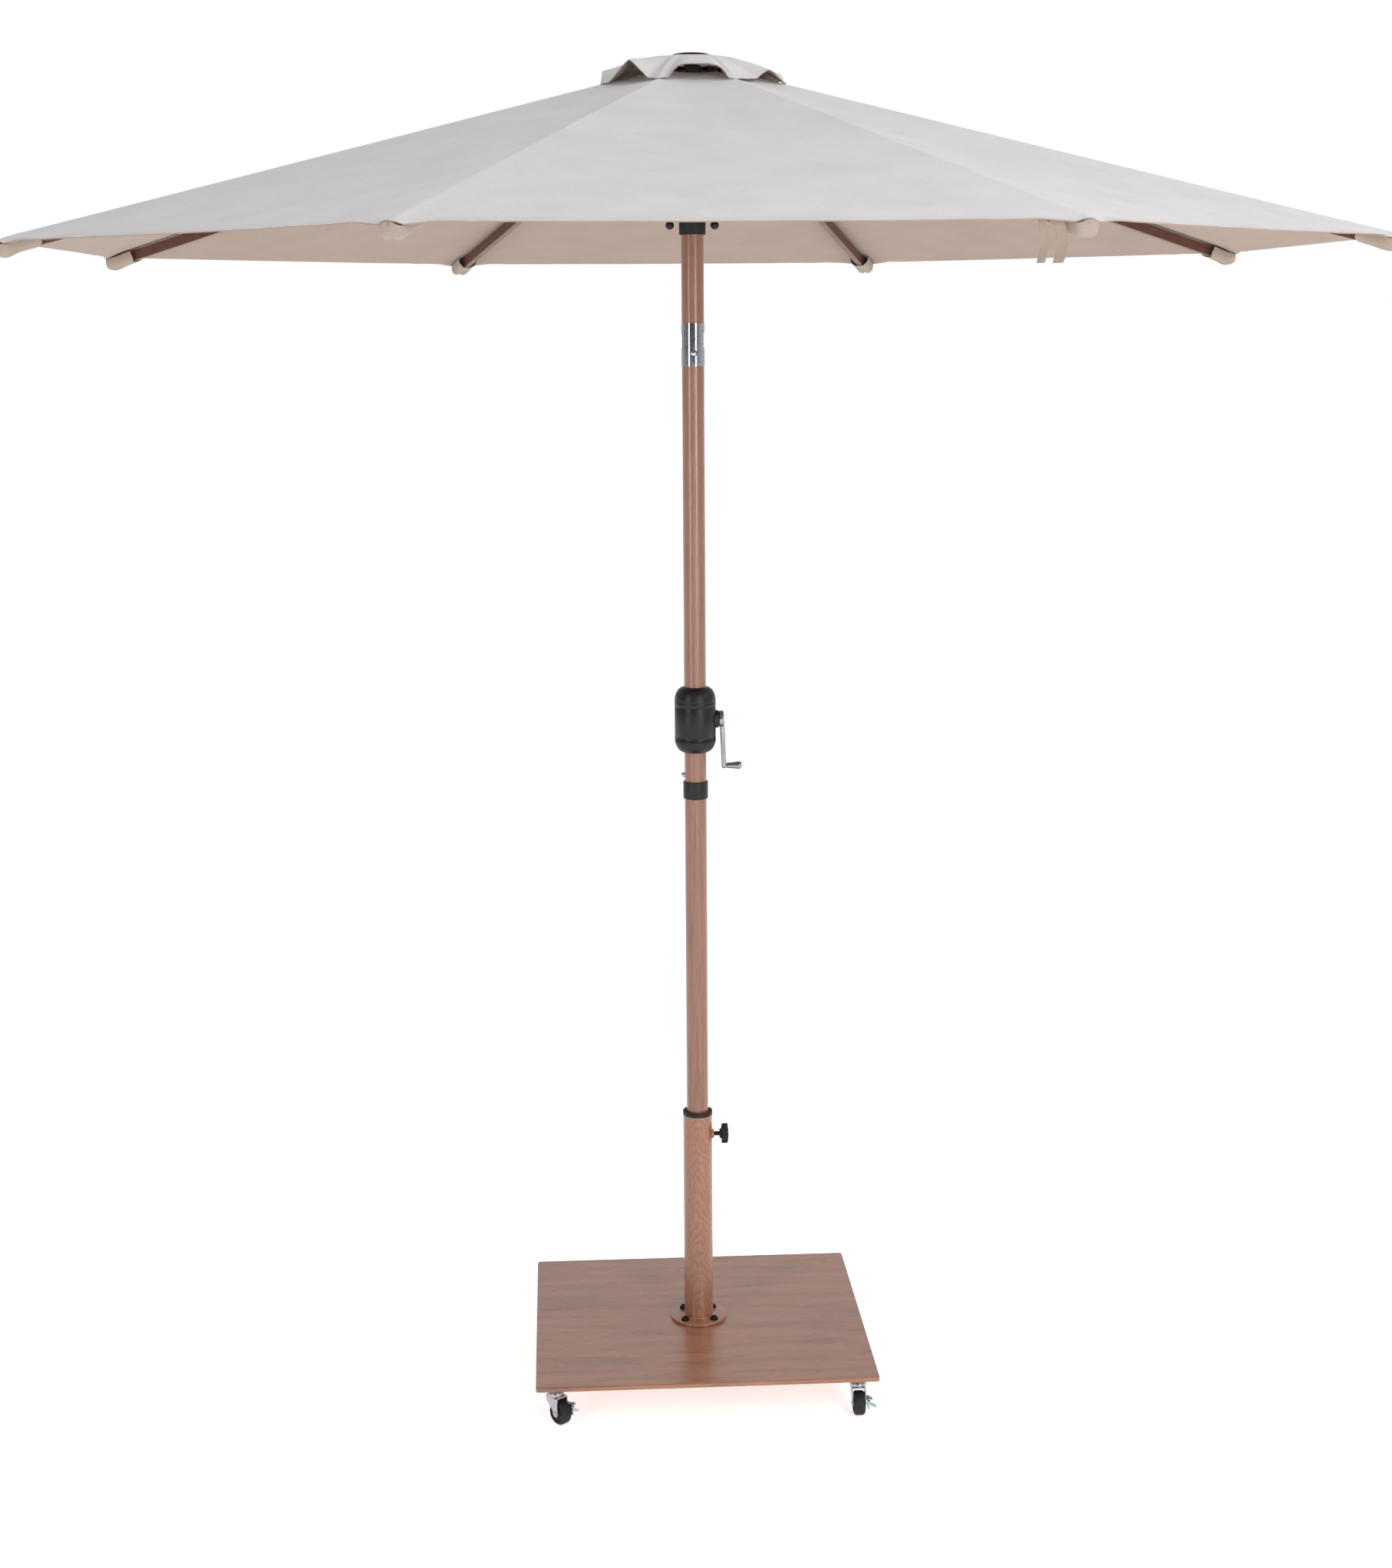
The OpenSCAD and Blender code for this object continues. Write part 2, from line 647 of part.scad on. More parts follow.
// A tongue between the ears, and a skirt hollowed to clear their rounded tops
module tilt_upper_knuckle() {
    color("silver") difference() {
        union() {
            difference() {
                translate([0, 0, tilt_z]) cylinder(r = knuckle_r, h = knuckle_above);
                rod_y(-knuckle_r - cut, tilt_z, arch_r, 2 * knuckle_r + 2 * cut);
            }
            centred_box(-tongue_r, tongue_r, tongue_t, tilt_z, tilt_z + arch_r);
            rod_y(-tongue_t / 2, tilt_z, tongue_r, tongue_t);
            translate([0, 0, tilt_z + knuckle_above - cut]) cylinder(r = pole_bore_r, h = plug_l + cut);
        }
        translate([0, 0, tilt_z - tongue_r - cut])
            cylinder(r = cord_bore_r, h = tongue_r + knuckle_above + plug_l + 2 * cut);
        rod_y(-tongue_t / 2 - cut, tilt_z, rivet_r + run_clear, tongue_t + 2 * cut);
        // room for the cords as the tongue tilts
        centred_box(-tongue_r + 3, tongue_r - 3, 2 * cord_bore_r, tilt_z - tongue_r - cut, tilt_z);
    }
}

module upper_pole() {
    pole_end = hub_top - 4;
    color("rosybrown") difference() {
        translate([0, 0, tilt_z + knuckle_above]) cylinder(r = pole_r, h = pole_end - tilt_z - knuckle_above);
        translate([0, 0, tilt_z + knuckle_above - cut])
            cylinder(r = pole_bore_r, h = pole_end - tilt_z - knuckle_above + 2 * cut);
        centred_box(-pole_r - cut, pole_r + cut, pulley_slot_w, pulley_z - pulley_rim_r - cut, pole_end + cut);
    }
}

// The hub holds the rib pins in open slots and the two cord sheaves between the ribs
module top_hub() {
    slot_w = rib_w + 1;
    hub_r = hub_pivot_r + hub_rim;
    slot_x = pulley_x + pulley_rim_r + cut;
    color("black") union() {
        difference() {
            translate([0, 0, hub_z - hub_h / 2]) cylinder(r = hub_r, h = hub_h);
            translate([0, 0, hub_z - hub_h / 2 - cut]) cylinder(r = pole_r, h = hub_h - 4 + cut);
            translate([0, 0, hub_z]) cylinder(r = 4, h = hub_h);
            for (i = [1 : sides]) rotate([0, 0, azimuth(i)])
                centred_box(hub_core_r, hub_r + cut, slot_w, hub_z - hub_h, hub_z + hub_h);
            centred_box(-slot_x, slot_x, pulley_slot_w, hub_z - hub_h, hub_top - 2);
        }
        for (i = [1 : sides]) rotate([0, 0, azimuth(i)])
            translate([hub_pivot_r, 0, 0]) rod_y(-slot_w / 2 - cut, hub_z, pin_r, slot_w + 2 * cut);
        for (x = [-pulley_x, pulley_x])
            translate([x, 0, 0]) rod_y(-pulley_slot_w / 2 - cut, pulley_z, pulley_axle_r, pulley_slot_w + 2 * cut);
    }
}

// A flat domed button whose stem holds the vent cap up from the hub
module finial() {
    color("black") {
        translate([0, 0, hub_top - 3.8]) cylinder(r = 4, h = 6);
        translate([0, 0, hub_top]) cylinder(r = finial_stem_r, h = finial_base_z - hub_top + cut);
        translate([0, 0, finial_base_z]) cylinder(d = finial_d, h = finial_h * 0.4);
        translate([0, 0, finial_base_z + finial_h * 0.4])
            cylinder(d1 = finial_d, d2 = finial_d * 0.6, h = finial_h * 0.6);
    }
}

module pulley(side) {
    color("white") translate([side * pulley_x, -pulley_w / 2, pulley_z]) rotate([-90, 0, 0]) difference() {
        rotate_extrude() polygon([
            [0, 0], [pulley_rim_r, 0], [pulley_rim_r, 0.8], [pulley_groove_r - cord_d / 2 - 0.1, pulley_w / 2 - 1],
            [pulley_groove_r - cord_d / 2 - 0.1, pulley_w / 2 + 1], [pulley_rim_r, pulley_w - 0.8],
            [pulley_rim_r, pulley_w], [0, pulley_w]
        ]);
        translate([0, 0, -cut]) cylinder(r = pulley_axle_r + run_clear, h = pulley_w + 2 * cut);
    }
}

module pulley_right() {
    pulley(1);
}

module pulley_left() {
    pulley(-1);
}

// ---- fabric ----

// An eight-sided tent of one thickness, with its corners over the ribs
module tent(r, z, slope, top_r) {
    drop = (r - top_r) * tan(slope);
    rotate([0, 0, half_gore]) difference() {
        translate([0, 0, z + fabric_t]) cylinder(r1 = r, r2 = top_r, h = drop, $fn = sides);
        translate([0, 0, z]) cylinder(r1 = r, r2 = 0, h = r * tan(slope), $fn = sides);
    }
}

module canopy() {
    color("lightgray") tent(canopy_r, ridge_z - canopy_r * tan(rib_slope), rib_slope, vent_r);
}

// The cap over the vent: a sloping skirt and a flat top around the finial's stem
module vent_cap() {
    color("gainsboro") {
        tent(cap_r, cap_edge_z, cap_slope, cap_flat_r);
        translate([0, 0, cap_flat_z]) rotate([0, 0, half_gore]) difference() {
            cylinder(r = cap_flat_r, h = fabric_t, $fn = sides);
            translate([0, 0, -cut]) cylinder(r = finial_stem_r + gap, h = fabric_t + 2 * cut);
        }
    }
}

// A short tie that hangs inside the front edge, by the right-hand front corner
module tie_strap() {
    rim = canopy_r * cos(half_gore);
    strap_y = -rim + strap_set_in;
    top = ridge_z + strap_y * tan(rib_slope) / cos(half_gore) - 1;
    strap_x = canopy_r * sin(half_gore) - strap_from_corner;
    color("gray") translate([strap_x, strap_y, top - strap_l]) cube([strap_w, strap_t, strap_l]);
}

// ---- runner and cords ----

module runner() {
    flange_out = runner_pin_r + runner_rim;
    notch_w = strut_w + 2 * stub_reach + 1;
    color("black") difference() {
        union() {
            translate([0, 0, runner_bottom]) cylinder(r = flange_out, h = runner_flange_h);
            translate([0, 0, runner_bottom - runner_collar_h])
                cylinder(r = runner_collar_r, h = runner_collar_h + cut);
        }
        translate([0, 0, runner_bottom - runner_collar_h - cut])
            cylinder(r = runner_bore_r, h = runner_collar_h + runner_flange_h + 2 * cut);
        for (i = [1 : sides]) rotate([0, 0, azimuth(i)]) {
            centred_box(runner_slot_r, flange_out + cut, strut_w + 1, runner_bottom - cut,
                runner_bottom + runner_flange_h + cut);
            centred_box(runner_pin_r - 5, runner_pin_r + 5, notch_w, runner_bottom - cut, runner_pin_z + 3.3);
        }
        for (x = [-bead_x, bead_x]) translate([x, 0, runner_bottom - cut])
            cylinder(d = cord_d + 0.6, h = runner_flange_h + 2 * cut);
    }
}

// Stopper beads on the lift cords' ends, under the flange
module cord_beads() {
    neck = 3;
    color("black") for (x = [-bead_x, bead_x]) translate([x, 0, runner_bottom]) {
        translate([0, 0, -neck - bead_d / 2]) sphere(d = bead_d);
        translate([0, 0, -neck - 2]) cylinder(r = 2, h = neck + 2);
    }
}

module lift_cords() {
    color("white") for (x = [-bead_x, bead_x])
        translate([x, 0, runner_bottom]) cylinder(d = cord_d, h = pulley_z - runner_bottom, $fn = 16);
}

module cord_in_mast() {
    pivot_gap = 4;
    color("white") for (x = [-cord_spread, cord_spread])
        cord_run([x, drum_r + cord_d / 2 + 0.1, crank_z], [x, 0, tilt_z - pivot_gap]);
}

module cord_over_pulleys() {
    pivot_gap = 4;
    color("white") for (side = [-1, 1]) {
        cord_run([side * cord_spread, 0, tilt_z + pivot_gap], [side * (pulley_x - pulley_groove_r), 0, pulley_z]);
        translate([side * pulley_x, 0, pulley_z]) rotate([90, 0, 0]) rotate_extrude(angle = 180)
            translate([pulley_groove_r, 0]) circle(d = cord_d, $fn = 16);
    }
}

// ---- ribs and struts ----

// A rectangular tube from its eye at the hub to its tip, with solid ends and a drain hole
module rib(i) {
    solid_end = 25;
    ear_t = 1.4;
    color("saddlebrown") at_rib(i) difference() {
        union() {
            centred_box(0, rib_l, rib_w, -rib_h / 2, rib_h / 2);
            rod_y(-rib_w / 2, 0, eye_r, rib_w);
            for (y = [-rib_w / 2 - ear_t, rib_w / 2]) translate([bracket_at, y, 0]) {
                translate([-10, 0, -bracket_drop]) cube([20, ear_t, bracket_drop + 2]);
                rod_y(0, -bracket_drop, 7, ear_t);
            }
            translate([bracket_at, 0, 0])
                rod_y(-rib_w / 2 - ear_t - 1, -bracket_drop, pin_r, rib_w + 2 * ear_t + 2);
        }
        centred_box(solid_end, rib_l - solid_end, rib_w - 2 * rib_wall, -rib_h / 2 + rib_wall, rib_h / 2 - rib_wall);
        rod_y(-rib_w / 2 - cut, 0, pin_r + run_clear, rib_w + 2 * cut);
        translate([rib_l - 2 * solid_end, 0, -rib_h]) cylinder(r = 1.5, h = rib_h);
    }
}

// A lighter tube from the rib's bracket to the runner, with a bored eye and two stub pins
module strut(i) {
    solid_end = 20;
    color("saddlebrown") rotate([0, 0, azimuth(i)])
        translate([bracket_r(rib_slope), 0, bracket_z(rib_slope)]) rotate([0, 180 - strut_slope, 0])
            difference() {
                union() {
                    centred_box(0, strut_l, strut_w, -strut_h / 2, strut_h / 2);
                    rod_y(-strut_w / 2, 0, strut_h / 2, strut_w);
                    translate([strut_l, 0, 0]) {
                        rod_y(-strut_w / 2, 0, strut_h / 2, strut_w);
                        rod_y(-strut_w / 2 - stub_reach, 0, pin_r, strut_w + 2 * stub_reach);
                    }
                }
                centred_box(solid_end, strut_l - solid_end, strut_w - 2 * rib_wall, -strut_h / 2 + rib_wall,
                    strut_h / 2 - rib_wall);
                rod_y(-strut_w / 2 - cut, 0, pin_r + run_clear, strut_w + 2 * cut);
                translate([strut_l / 2, 0, 0]) cylinder(r = 1.5, h = strut_h);
            }
}

base_plate();
base_tube();
flange_screws();
tube_collar();
caster_stems();
caster_fork(1);  // caster_fork_1
caster_fork(2);  // caster_fork_2
caster_fork(3);  // caster_fork_3
caster_fork(4);  // caster_fork_4
caster_wheel(1);  // caster_wheel_1
caster_wheel(2);  // caster_wheel_2
caster_wheel(3);  // caster_wheel_3
caster_wheel(4);  // caster_wheel_4
caster_brake(1);  // caster_brake_1
caster_brake(2);  // caster_brake_2
clamp_pad();
clamp_knob();
lower_pole();
pole_foot();
pole_collar();
crank_pole();
snap_button();
housing_front();
housing_back();
tilt_lower_knuckle();
tilt_rivets();
tilt_button();
crank_spool();
crank_arm();
crank_grip();
tilt_upper_knuckle();
upper_pole();
top_hub();
finial();
pulley_right();
pulley_left();
vent_cap();
canopy();
tie_strap();
runner();
cord_beads();
lift_cords();
cord_in_mast();
cord_over_pulleys();
rib(1);  // rib_1
rib(2);  // rib_2
rib(3);  // rib_3
rib(4);  // rib_4
rib(5);  // rib_5
rib(6);  // rib_6
rib(7);  // rib_7
rib(8);  // rib_8
strut(1);  // strut_1
strut(2);  // strut_2
strut(3);  // strut_3
strut(4);  // strut_4
strut(5);  // strut_5
strut(6);  // strut_6
strut(7);  // strut_7
strut(8);  // strut_8
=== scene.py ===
"""A patio umbrella with its rolling base: the looks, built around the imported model."""
import math

import bmesh
import bpy
import numpy as np
from bpy.props import FloatProperty, FloatVectorProperty, PointerProperty
from mathutils import Matrix, Vector, noise


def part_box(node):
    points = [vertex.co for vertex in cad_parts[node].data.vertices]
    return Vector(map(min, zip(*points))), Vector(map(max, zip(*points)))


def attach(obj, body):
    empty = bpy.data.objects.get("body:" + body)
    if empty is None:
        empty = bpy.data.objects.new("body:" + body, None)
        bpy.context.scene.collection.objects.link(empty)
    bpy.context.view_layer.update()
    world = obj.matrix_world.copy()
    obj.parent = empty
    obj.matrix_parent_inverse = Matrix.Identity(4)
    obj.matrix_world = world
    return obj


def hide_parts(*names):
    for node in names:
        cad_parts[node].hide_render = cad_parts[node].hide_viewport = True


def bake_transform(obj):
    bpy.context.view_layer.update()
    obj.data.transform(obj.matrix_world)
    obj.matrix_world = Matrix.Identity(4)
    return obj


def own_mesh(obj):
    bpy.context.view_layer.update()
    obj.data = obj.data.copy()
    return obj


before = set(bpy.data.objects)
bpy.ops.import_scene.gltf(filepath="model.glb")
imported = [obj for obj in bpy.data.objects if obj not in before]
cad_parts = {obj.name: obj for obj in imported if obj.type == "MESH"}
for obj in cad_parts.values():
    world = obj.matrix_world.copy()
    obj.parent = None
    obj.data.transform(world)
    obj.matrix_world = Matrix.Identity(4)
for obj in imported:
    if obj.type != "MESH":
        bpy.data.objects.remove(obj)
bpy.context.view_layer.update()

bl_info = {
    "name": "Patio umbrella with base",
    "version": (1, 0, 0),
    "blender": (4, 5, 0),
    "location": "3D View > Sidebar > Umbrella",
    "description": "Builds a crank and tilt umbrella on a rolling plate around its packed model",
    "category": "Add Mesh",
}

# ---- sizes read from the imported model, in millimetres ----


def span(node):
    """The lowest and highest corner of a CAD node, in millimetres."""
    low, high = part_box(node)
    return np.array(low) * 1000, np.array(high) * 1000


def axis_of(node):
    """The middle of a CAD node's box, in millimetres."""
    low, high = span(node)
    return (low + high) / 2


MM = 0.001
RIB_COUNT = 8
GORE = math.radians(360 / RIB_COUNT)
RIB_SLOPE = math.radians(15)
GORE_FALL = math.tan(RIB_SLOPE) / math.cos(GORE / 2)
CANOPY_R = span("canopy")[1][0] / math.cos(GORE / 2)
RIM_Z = span("canopy")[0][2]
FABRIC_T = 0.9
# Height of the fabric's upper face on the mast's axis, if the gores went on to it
PEAK_Z = RIM_Z + 2 + CANOPY_R * math.tan(RIB_SLOPE)
VENT_R = 95
CAP_R = span("vent_cap")[1][0] / math.cos(GORE / 2)
CAP_TOP_Z = span("vent_cap")[1][2]
POLE_R = 19
TUBE_R = 25.4
TUBE_BORE_R = 23.6
FLANGE_T = 5
THREAD_PITCH = 1.25
AXLE_Z = 20
CASTER_TRAIL = 12


# ---- settings ----


def linear(code):
    """A linear colour with alpha from an sRGB hex value."""
    parts = [int(code[i:i + 2], 16) / 255 for i in (0, 2, 4)]
    return [c / 12.92 if c <= 0.04045 else ((c + 0.055) / 1.055) ** 2.4 for c in parts] + [1.0]


def colour_setting(name, description, code):
    """A colour in the panel, from an sRGB hex value."""
    return FloatVectorProperty(
        name=name, description=description, default=linear(code), size=4, subtype="COLOR", min=0, max=1
    )


def length_setting(name, description, value):
    """A length in the panel, from a value in millimetres."""
    return FloatProperty(
        name=name, description=description, default=value * MM, unit="LENGTH", subtype="DISTANCE"
    )


class UmbrellaFabricSettings(bpy.types.PropertyGroup):
    # the outer face's paleness is painted light on the upper face, over the cloth's own beige
    outer: colour_setting("Outer face", "Colour of the canopy's weathered upper face", "d9d6d7")
    # the inner face's tan is partly the cloth's own beige, partly painted light through the cloth and painted
    # shade below it
    inner: colour_setting("Inner face", "Colour of the canopy seen from below", "9a877b")
    trim: colour_setting("Hem", "Colour of the doubled hems and seams", "d5d2d2")
    scallop: length_setting("Scallop", "How far the rim is drawn in between two ribs", 17)
    dip: length_setting("Dip", "How far the cloth sinks between two ribs", 9)
    hem: length_setting("Hem width", "Width of the doubled edge", 17)
    pocket: length_setting("Pocket length", "Length of the pocket under each corner", 58)
    weave: length_setting("Weave", "Spacing of the drawn threads", 2.4)


class UmbrellaMastSettings(bpy.types.PropertyGroup):
    film_light: colour_setting("Light grain", "Lighter tone of the wood-grain film", "8b5a42")
    film_dark: colour_setting("Dark grain", "Darker tone of the wood-grain film", "6b412d")
    plastic: colour_setting("Plastic", "Colour of the moulded parts", "0e0d12")
    rib_paint: colour_setting("Rib paint", "Colour of the ribs and struts", "5b3b30")
    collar_edge: length_setting("Collar edge", "Rounding of the collar's edges", 1.4)


class UmbrellaBaseSettings(bpy.types.PropertyGroup):
    film_light: colour_setting("Light grain", "Lighter tone of the plate's wood-grain film", "9d6547")
    film_dark: colour_setting("Dark grain", "Darker tone of the plate's wood-grain film", "74492f")
    edge: length_setting("Plate edge", "Rounding along the plate's edges", 1.6)
    knob_lobe: length_setting("Knob lobes", "Depth of the knob's finger lobes", 2.2)


class UmbrellaStageSettings(bpy.types.PropertyGroup):
    floor: colour_setting("Floor", "Colour of the studio floor", "f4f3f1")
    key_power: FloatProperty(
        name="Key light", description="Power of the soft key light", default=58, unit="POWER"
    )
    sky: FloatProperty(name="Sky", description="Strength of the even light all round", default=0.80, min=0)
    lens: FloatProperty(name="Lens", description="Focal length", default=53.6, unit="CAMERA")


def settings(group):
    """One group of the panel's settings."""
    return getattr(bpy.context.scene, "umbrella_" + group)


# ---- mesh building, in millimetres ----


def join(*parts):
    """Several (vertices, faces) shapes as one."""
    vertices, faces = [], []
    for more_vertices, more_faces in parts:
        start = len(vertices)
        vertices.extend(tuple(v) for v in more_vertices)
        faces.extend(tuple(i + start for i in face) for face in more_faces)
    return vertices, faces


def turned(shape, matrix):
    """A shape moved by a matrix."""
    vertices, faces = shape
    return [tuple(matrix @ Vector(v)) for v in vertices], faces


def along_x(x, y, z):
    """Turns a shape made round Z so that its axis runs along +X from a point."""
    return Matrix.Translation((x, y, z)) @ Matrix.Rotation(math.pi / 2, 4, "Y")


def lathe(profile, steps=64, closed=False, start=0.0, sweep=2 * math.pi):
    """A (radius, height) profile turned round Z."""
    full = sweep > 2 * math.pi - 1e-6
    count = steps if full else steps + 1
    vertices = []
    for i in range(count):
        angle = start + sweep * i / steps
        vertices += [(r * math.cos(angle), r * math.sin(angle), z) for r, z in profile]
    n = len(profile)
    faces = []
    for i in range(steps):
        a, b = i * n, (i + 1) % count * n
        for j in range(n if closed else n - 1):
            k = (j + 1) % n
            faces.append((a + j, b + j, b + k, a + k))
    if not full:
        faces.append(tuple(range(n)))
        faces.append(tuple(reversed(range((count - 1) * n, count * n))))
    return vertices, faces


def rounded(corners, steps=4):
    """A profile of (r, z, radius) corners, each rounded off by its radius."""
    points = []
    n = len(corners)
    for i, (r, z, radius) in enumerate(corners):
        here = Vector((r, z))
        if radius <= 0:
            points.append((r, z))
            continue
        before = (Vector(corners[i - 1][:2]) - here).normalized()
        after = (Vector(corners[(i + 1) % n][:2]) - here).normalized()
        half = before.angle(after) / 2
        reach = radius / math.tan(half)
        centre = here + (before + after).normalized() * radius / math.sin(half)
        first, last = here + before * reach - centre, here + after * reach - centre
        turn = first.angle_signed(last)
        for k in range(steps + 1):
            arm = first.copy()
            arm.rotate(Matrix.Rotation(-turn * k / steps, 2))
            points.append(tuple(centre + arm))
    return points


def prism(outline, z0, z1, edge, steps=3, support=0.6):
    """An outline extruded along Z, with rounded edges and a narrow flat loop inside each rounding."""
    points = [Vector(p) for p in outline]
    n = len(points)
    inward = []
    for i in range(n):
        along = (points[(i + 1) % n] - points[i - 1]).normalized()
        inward.append(Vector((-along.y, along.x)))
    rings = [(edge + support, z0)]
    for k in range(steps + 1):
        angle = math.pi / 2 * k / steps
        rings.append((edge * (1 - math.sin(angle)), z0 + edge * (1 - math.cos(angle))))
    rings += [(inset, z0 + z1 - z) for inset, z in reversed(rings)]
    vertices = [
        (p.x + inward[i].x * inset, p.y + inward[i].y * inset, z)
        for inset, z in rings for i, p in enumerate(points)
    ]
    faces = [tuple(reversed(range(n)))]
    for level in range(len(rings) - 1):
        for i in range(n):
            j = (i + 1) % n
            a, b = level * n, (level + 1) * n
            faces.append((a + i, a + j, b + j, b + i))
    last = (len(rings) - 1) * n
    faces.append(tuple(range(last, last + n)))
    return vertices, faces


def tube(path, radius, sides=10, lobes=0, twist=0.0):
    """A tube along points; lobes and twist give it the lay of a laid cord."""
    vertices, faces = [], []
    side = None
    for i, point in enumerate(path):
        ahead = Vector(path[min(i + 1, len(path) - 1)]) - Vector(path[max(i - 1, 0)])
        ahead.normalize()
        if side is None:
            side = ahead.orthogonal().normalized()
        side = (side - ahead * side.dot(ahead)).normalized()
        up = ahead.cross(side)
        for k in range(sides):
            angle = 2 * math.pi * k / sides
            r = radius * (1 + 0.14 * math.cos(lobes * (angle + twist * i))) if lobes else radius
            vertices.append(tuple(Vector(point) + (side * math.cos(angle) + up * math.sin(angle)) * r))
    for i in range(len(path) - 1):
        for k in range(sides):
            a, b = i * sides, (i + 1) * sides
            faces.append((a + k, a + (k + 1) % sides, b + (k + 1) % sides, b + k))
    faces.append(tuple(reversed(range(sides))))
    last = (len(path) - 1) * sides
    faces.append(tuple(range(last, last + sides)))
    return vertices, faces


def shell(grid, thickness):
    """A sheet of points, rows by columns, given a thickness below its face. Returns the shape, the number
    of faces on the upper face and round the edge, and the normals."""
    rows, columns = grid.shape[:2]
    by_row, by_column = np.gradient(grid, axis=0), np.gradient(grid, axis=1)
    normals = np.cross(by_row, by_column)
    normals /= np.maximum(np.linalg.norm(normals, axis=2, keepdims=True), 1e-9)
    below = grid - normals * thickness[..., None]
    vertices = [tuple(p) for p in grid.reshape(-1, 3)] + [tuple(p) for p in below.reshape(-1, 3)]
    under = rows * columns

    def at(i, j):
        return i * columns + j

    upper = [
        (at(i, j), at(i + 1, j), at(i + 1, j + 1), at(i, j + 1))
        for i in range(rows - 1) for j in range(columns - 1)
    ]
    lower = [tuple(under + k for k in reversed(face)) for face in upper]
    border = [at(0, j) for j in range(columns)] + [at(i, columns - 1) for i in range(1, rows)]
    border += [at(rows - 1, j) for j in range(columns - 2, -1, -1)]
    border += [at(i, 0) for i in range(rows - 2, 0, -1)]
    edge = [(a, b, under + b, under + a) for a, b in zip(border, border[1:] + border[:1])]
    return (vertices, upper + edge + lower), len(upper), len(edge), normals


def piece(name, shape, finishes, body=None, replaces=(), split=35, spans=None, normals=None):
    """Makes one visible piece from a shape in millimetres, with its finish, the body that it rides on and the
    CAD nodes that it stands for."""
    vertices, faces = shape
    mesh = bpy.data.meshes.new(name)
    mesh.from_pydata([(x * MM, y * MM, z * MM) for x, y, z in vertices], [], faces)
    for finish_name in [finishes] if isinstance(finishes, str) else finishes:
        mesh.materials.append(finish(finish_name))
    if spans:
        mesh.polygons.foreach_set("material_index", spans)
    if normals is None:
        work = bmesh.new()
        work.from_mesh(mesh)
        bmesh.ops.remove_doubles(work, verts=work.verts, dist=1e-6)
        bmesh.ops.dissolve_degenerate(work, edges=work.edges, dist=1e-7)
        bmesh.ops.recalc_face_normals(work, faces=work.faces)
        work.to_mesh(mesh)
        work.free()
    mesh.polygons.foreach_set("use_smooth", [True] * len(mesh.polygons))
    mesh.set_sharp_from_angle(angle=math.radians(split))
    if normals is not None:
        # a face that stands across the sheet keeps its own flat normal
        corners = []
        for face in mesh.polygons:
            for vertex in face.vertices:
                given = Vector(normals[vertex])
                corners.append(given if given.dot(face.normal) > 0.5 else face.normal.copy())
        mesh.normals_split_custom_set(corners)
    made = bpy.data.objects.new(name, mesh)
    bpy.context.scene.collection.objects.link(made)
    if body:
        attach(made, body)
    if replaces:
        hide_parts(*replaces)
    return made


def paint(finish_name, slot, *nodes):
    """Gives carried-over CAD nodes their finish."""
    for node in nodes:
        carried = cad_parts[node]
        carried.data.materials.clear()
        carried.data.materials.append(finish(finish_name))


# ---- finishes ----


def add(tree, kind, inputs=None, **options):
    """Adds one shader node with its options, its values and its links."""
    made = tree.nodes.new("ShaderNode" + kind)
    for name, value in options.items():
        setattr(made, name, value)
    for name, value in (inputs or {}).items():
        socket = made.inputs[name]
        if isinstance(value, bpy.types.NodeSocket):
            tree.links.new(value, socket)
        else:
            socket.default_value = value
    return made


def ramp(tree, value, *pairs):
    """A colour ramp over a value, with its stops as (position, colour or grey level) pairs."""
    made = add(tree, "ValToRGB", {"Fac": value})
    elements = made.color_ramp.elements
    while len(elements) < len(pairs):
        elements.new(0.5)
    for element, (position, level) in zip(elements, pairs):
        element.position = position
        element.color = [level] * 3 + [1] if isinstance(level, (int, float)) else list(level)
    return made.outputs["Color"]


def reckon(tree, operation, *values):
    """The result of one sum over links and numbers."""
    return add(tree, "Math", dict(enumerate(values)), operation=operation).outputs[0]


def stretched(tree, size, turn=(0, 0, 0)):
    """Object coordinates divided by a size in millimetres on each axis."""
    place = add(tree, "TexCoord").outputs["Object"]
    scale = [1 / (s * MM) for s in size]
    return add(tree, "Mapping", {"Vector": place, "Scale": scale, "Rotation": turn}).outputs["Vector"]


def clouds(tree, size, detail, **values):
    """Smooth noise with features of a size in millimetres on each axis."""
    inputs = {"Vector": stretched(tree, size), "Scale": 1.0, "Detail": detail, **values}
    return add(tree, "TexNoise", inputs).outputs["Fac"]


def toned(colour, share):
    """A colour made lighter or darker by a share, kept within white."""
    return [min(1, c * share) for c in colour[:3]] + [1]


def shade(tree, colour, roughness, bump=None, bump_depth=0.1, **values):
    """The closing shader: colour and roughness may be links, everything else is set on its own socket."""
    inputs = {"Base Color": colour, "Roughness": roughness}
    if bump is not None:
        relief = add(tree, "Bump", {"Height": bump, "Strength": 1.0, "Distance": bump_depth * MM})
        inputs["Normal"] = relief.outputs["Normal"]
    shader = add(tree, "BsdfPrincipled", inputs)
    for name, value in values.items():
        shader.inputs[name.replace("_", " ")].default_value = value
    add(tree, "OutputMaterial", {"Surface": shader.outputs["BSDF"]})


